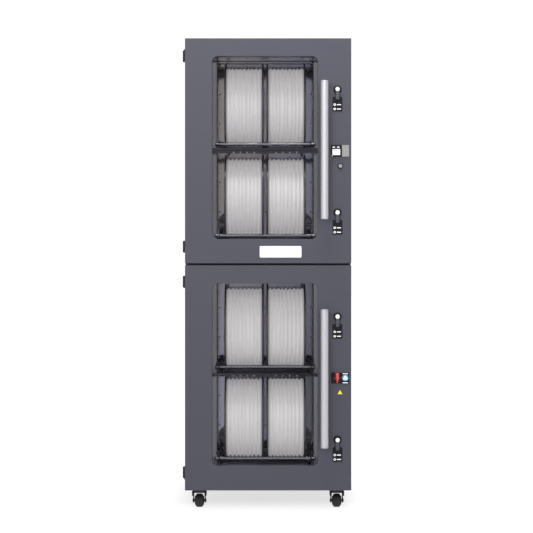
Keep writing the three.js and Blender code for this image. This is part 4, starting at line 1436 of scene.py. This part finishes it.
# ------------------------------------------------------------------ casters
class DRYER_OT_casters(PieceOperator):
    """Swivel casters: stamped forks with bearing heads, axles and moulded wheels"""
    bl_idname = "dryer.casters"
    bl_label = "Casters"

    def build(self, scene):
        for corner in CORNERS:
            self.add_fork(corner)
            self.add_wheel(corner)

    def add_fork(self, corner):
        """The swivel head, the shoulders under it, two legs and the axle with its nuts."""
        node = f"caster_fork_{corner}"
        low, high, _ = span(node)
        swivel = joint(f"caster_{corner}_swivel")
        axle = joint(f"caster_{corner}_roll")
        radius = (high.x - low.x) / 2
        head = 12 * MM
        crown = high.z - head
        bm = bmesh.new()
        add_turned(bm, [
            (0.0, 0.0), (radius * 0.72, 0.0), (radius * 0.9, -1.5 * MM), (radius, -4.5 * MM),
            (radius, -7 * MM), (radius * 0.93, -10 * MM), (radius * 0.8, -head), (0.0, -head),
        ], (swivel.x, swivel.y, high.z), Z_AXIS, 40)
        inner, outer, shoulder = 21 * MM, 25.5 * MM, radius - 0.3 * MM
        front, back = swivel.y - 14 * MM, axle.y + 10 * MM
        add_block(
            bm, (swivel.x - shoulder, front, crown - 6 * MM), (swivel.x + shoulder, back, crown + 1 * MM),
            1.5 * MM, 3,
        )
        for side in (-1, 1):
            x_pair = sorted((swivel.x + side * inner, swivel.x + side * shoulder))
            add_block(
                bm, (x_pair[0], front, crown - 18 * MM), (x_pair[1], back, crown - 2 * MM), 2 * MM, 3
            )
        narrow = Matrix.Translation(-Vector((0, axle.y, 0)))
        for side in (-1, 1):
            x_pair = sorted((swivel.x + side * inner, swivel.x + side * outer))
            made = cube_between(
                bm, (x_pair[0], axle.y - 14 * MM, axle.z - 9 * MM), (x_pair[1], axle.y + 10 * MM, crown)
            )
            feet = [v for v in made if v.co.z < axle.z]
            bmesh.ops.scale(bm, vec=(1, 0.62, 1), space=narrow, verts=feet)
            round_edges(bm, edges_of(made), 1.8 * MM, 3)
            nut = swivel.x + side * outer
            add_rod(
                bm, (nut, axle.y, axle.z), (nut + side * 2.5 * MM, axle.y, axle.z), 7 * MM, 6, 0.6 * MM
            )
        add_rod(bm, (swivel.x - outer, axle.y, axle.z), (swivel.x + outer, axle.y, axle.z), 5 * MM, 20)
        finish_piece(f"{node}_body", bm, "black", node, [node])

    def add_wheel(self, corner):
        """The rubber tread, and the hub with a thread guard on each side."""
        node = f"caster_wheel_{corner}"
        low, high, middle = span(node)
        half = (high.x - low.x) / 2
        radius = (high.z - low.z) / 2
        tread = [
            (radius - 9 * MM, half - 1 * MM), (radius - 4.5 * MM, half), (radius - 1.6 * MM, half - 1.8 * MM),
            (radius - 0.3 * MM, half - 5 * MM), (radius, half - 8 * MM), (radius, 0.0),
        ]
        profile = tread + [(r, -x) for r, x in reversed(tread[:-1])]
        profile.append(profile[0])
        bm = bmesh.new()
        add_turned(bm, profile, middle, X_AXIS, 56)
        finish_piece(f"{node}_tread", bm, "rubber", node, [node])
        bore, edge, dish = 5.3 * MM, radius - 9.1 * MM, half - 4 * MM
        disc = [
            (bore, half), (bore + 3.5 * MM, half), (bore + 4.5 * MM, dish), (edge - 2 * MM, dish),
            (edge, half - 1.2 * MM),
        ]
        profile = disc + [(r, -x) for r, x in reversed(disc)]
        profile.append(profile[0])
        bm = bmesh.new()
        add_turned(bm, profile, middle, X_AXIS, 40)
        guard, reach, sunk = radius - 6.5 * MM, 4.8 * MM, -0.3 * MM
        for side in (-1, 1):
            add_turned(bm, [
                (bore, sunk), (guard, sunk), (guard, 1.2 * MM), (guard - 3 * MM, reach - 1 * MM),
                (guard - 5 * MM, reach), (bore, reach), (bore, sunk),
            ], middle + Vector((side * half, 0, 0)), side * X_AXIS, 40)
        finish_piece(f"{node}_hub", bm, "plastic", node)


# ------------------------------------------------------------------ studio
class DRYER_OT_studio(PieceOperator):
    """Camera, pale floor, even white surroundings and soft lights"""
    bl_idname = "dryer.studio"
    bl_label = "Studio"

    def build(self, scene):
        studio = scene.dryer_studio
        self.add_camera(scene, studio)
        self.add_floor(studio)
        self.add_world(scene, studio)
        self.add_lights(studio)
        scene.view_settings.view_transform = "Standard"

    def add_camera(self, scene, studio):
        """A long lens that looks level at the doors."""
        data = bpy.data.cameras.new("camera")
        data.lens = studio.lens
        data.sensor_width = 36.0
        data.shift_y = studio.camera_shift
        data.clip_end = 100.0
        camera = bpy.data.objects.new("camera", data)
        x = span("door_panel_upper")[2].x - studio.camera_left
        camera.location = (x, door_face() - studio.camera_distance, studio.camera_height)
        camera.rotation_euler = (math.pi / 2, 0, 0)
        scene.collection.objects.link(camera)
        scene.camera = camera

    def add_floor(self, studio):
        """A wide pale floor that gives most of its light by itself, with a painted shadow under the cabinet.
        """
        bm = bmesh.new()
        bmesh.ops.create_grid(bm, x_segments=8, y_segments=8, size=30.0)
        mesh = bpy.data.meshes.new("floor")
        bm.to_mesh(mesh)
        bm.free()
        pale = Finish("pale_floor_painted_shadow", (0.28, 0.28, 0.283, 1.0), 0.7)
        cloud = pale.noise(2.0, 3.0)
        pale.set(**{
            "Base Color": pale.mix(cloud, (0.27, 0.27, 0.273, 1.0), (0.29, 0.29, 0.293, 1.0)),
            "Specular IOR Level": 0.1,
            "Emission Color": self.floor_glow_with_painted_shadow(pale),
            "Emission Strength": studio.floor_glow,
        })
        mesh.materials.append(pale.material)
        floor = bpy.data.objects.new("floor", mesh)
        bpy.context.scene.collection.objects.link(floor)

    def floor_glow_with_painted_shadow(self, pale):
        """Even glow, with a painted shadow under the cabinet: the emission falls to 0.8 there."""
        # Painted shadow: a box under the cabinet, with soft edges, where the floor's glow is weaker.
        ahead = pale.clamp((pale.axis("Y") + 0.28) * 4.3)
        behind = pale.clamp((0.75 - pale.axis("Y")) * 4.0)
        beside = pale.clamp((0.42 - pale.axis("X").absolute()) * 9.0)
        return pale.mix(ahead * behind * beside, WHITE, (0.8, 0.8, 0.805, 1.0))

    def add_world(self, scene, studio):
        """White surroundings, which the camera sees brighter than they light the pieces."""
        world = bpy.data.worlds.new("white_room")
        world.use_nodes = True
        nodes = Nodes(world.node_tree)
        light = nodes.tree.nodes["Background"]
        nodes.fill(light, {"Color": WHITE, "Strength": studio.sky})
        seen = nodes.node("ShaderNodeBackground", sockets={"Color": WHITE, "Strength": studio.backdrop})
        path = nodes.node("ShaderNodeLightPath")
        mix = nodes.node("ShaderNodeMixShader", sockets={
            0: path.outputs["Is Camera Ray"], 1: light.outputs[0], 2: seen.outputs[0],
        })
        nodes.fill(nodes.tree.nodes["World Output"], {"Surface": mix.outputs[0]})
        scene.world = world

    def add_lights(self, studio):
        """Two large lights in front and a smaller one above."""
        lights = (
            ("key", (-1.9, -6.2, 2.5), (0, 0, 1.1), 2.0, studio.key),
            ("fill", (1.9, -6.2, 2.5), (0, 0, 1.1), 2.0, studio.fill),
            ("overhead", (0.1, -0.95, 3.6), (0, -0.4, 1.2), 0.8, studio.overhead),
        )
        for name, place, target, size, power in lights:
            data = bpy.data.lights.new(name, "AREA")
            data.shape = "SQUARE"
            data.size = size
            data.energy = power
            lamp = bpy.data.objects.new(name, data)
            lamp.location = place
            lamp.rotation_euler = (Vector(target) - Vector(place)).to_track_quat("-Z", "Y").to_euler()
            bpy.context.scene.collection.objects.link(lamp)


# ------------------------------------------------------------------ add-on
OPERATORS = (
    DRYER_OT_studio, DRYER_OT_cabinet, DRYER_OT_doors, DRYER_OT_handles, DRYER_OT_latches, DRYER_OT_hinges,
    DRYER_OT_controls, DRYER_OT_racks, DRYER_OT_spools, DRYER_OT_fans, DRYER_OT_casters,
)


class DRYER_PT_panel(bpy.types.Panel):
    """Lists the settings and the pieces in the sidebar"""
    bl_label = "Filament dryer"
    bl_idname = "DRYER_PT_panel"
    bl_space_type = "VIEW_3D"
    bl_region_type = "UI"
    bl_category = "Dryer"

    def draw(self, context):
        column = self.layout.column(align=True)
        for settings_name in GROUPS:
            group = getattr(context.scene, settings_name)
            for name in group.__annotations__:
                column.prop(group, name)
        for operator in OPERATORS:
            column.operator(operator.bl_idname)


GROUPS = {
    "dryer_finishes": DryerFinishes,
    "dryer_sizes": DryerSizes,
    "dryer_spools": DryerSpools,
    "dryer_studio": DryerStudio,
}


def register():
    for group in GROUPS.values():
        bpy.utils.register_class(group)
    for name, group in GROUPS.items():
        setattr(bpy.types.Scene, name, PointerProperty(type=group))
    for operator in OPERATORS:
        bpy.utils.register_class(operator)
    bpy.utils.register_class(DRYER_PT_panel)


def unregister():
    bpy.utils.unregister_class(DRYER_PT_panel)
    for operator in reversed(OPERATORS):
        bpy.utils.unregister_class(operator)
    for name in GROUPS:
        delattr(bpy.types.Scene, name)
    for group in reversed(list(GROUPS.values())):
        bpy.utils.unregister_class(group)


def main():
    register()
    for operator in OPERATORS:
        group, name = operator.bl_idname.split(".")
        getattr(getattr(bpy.ops, group), name)()


if __name__ == "__main__":
    main()
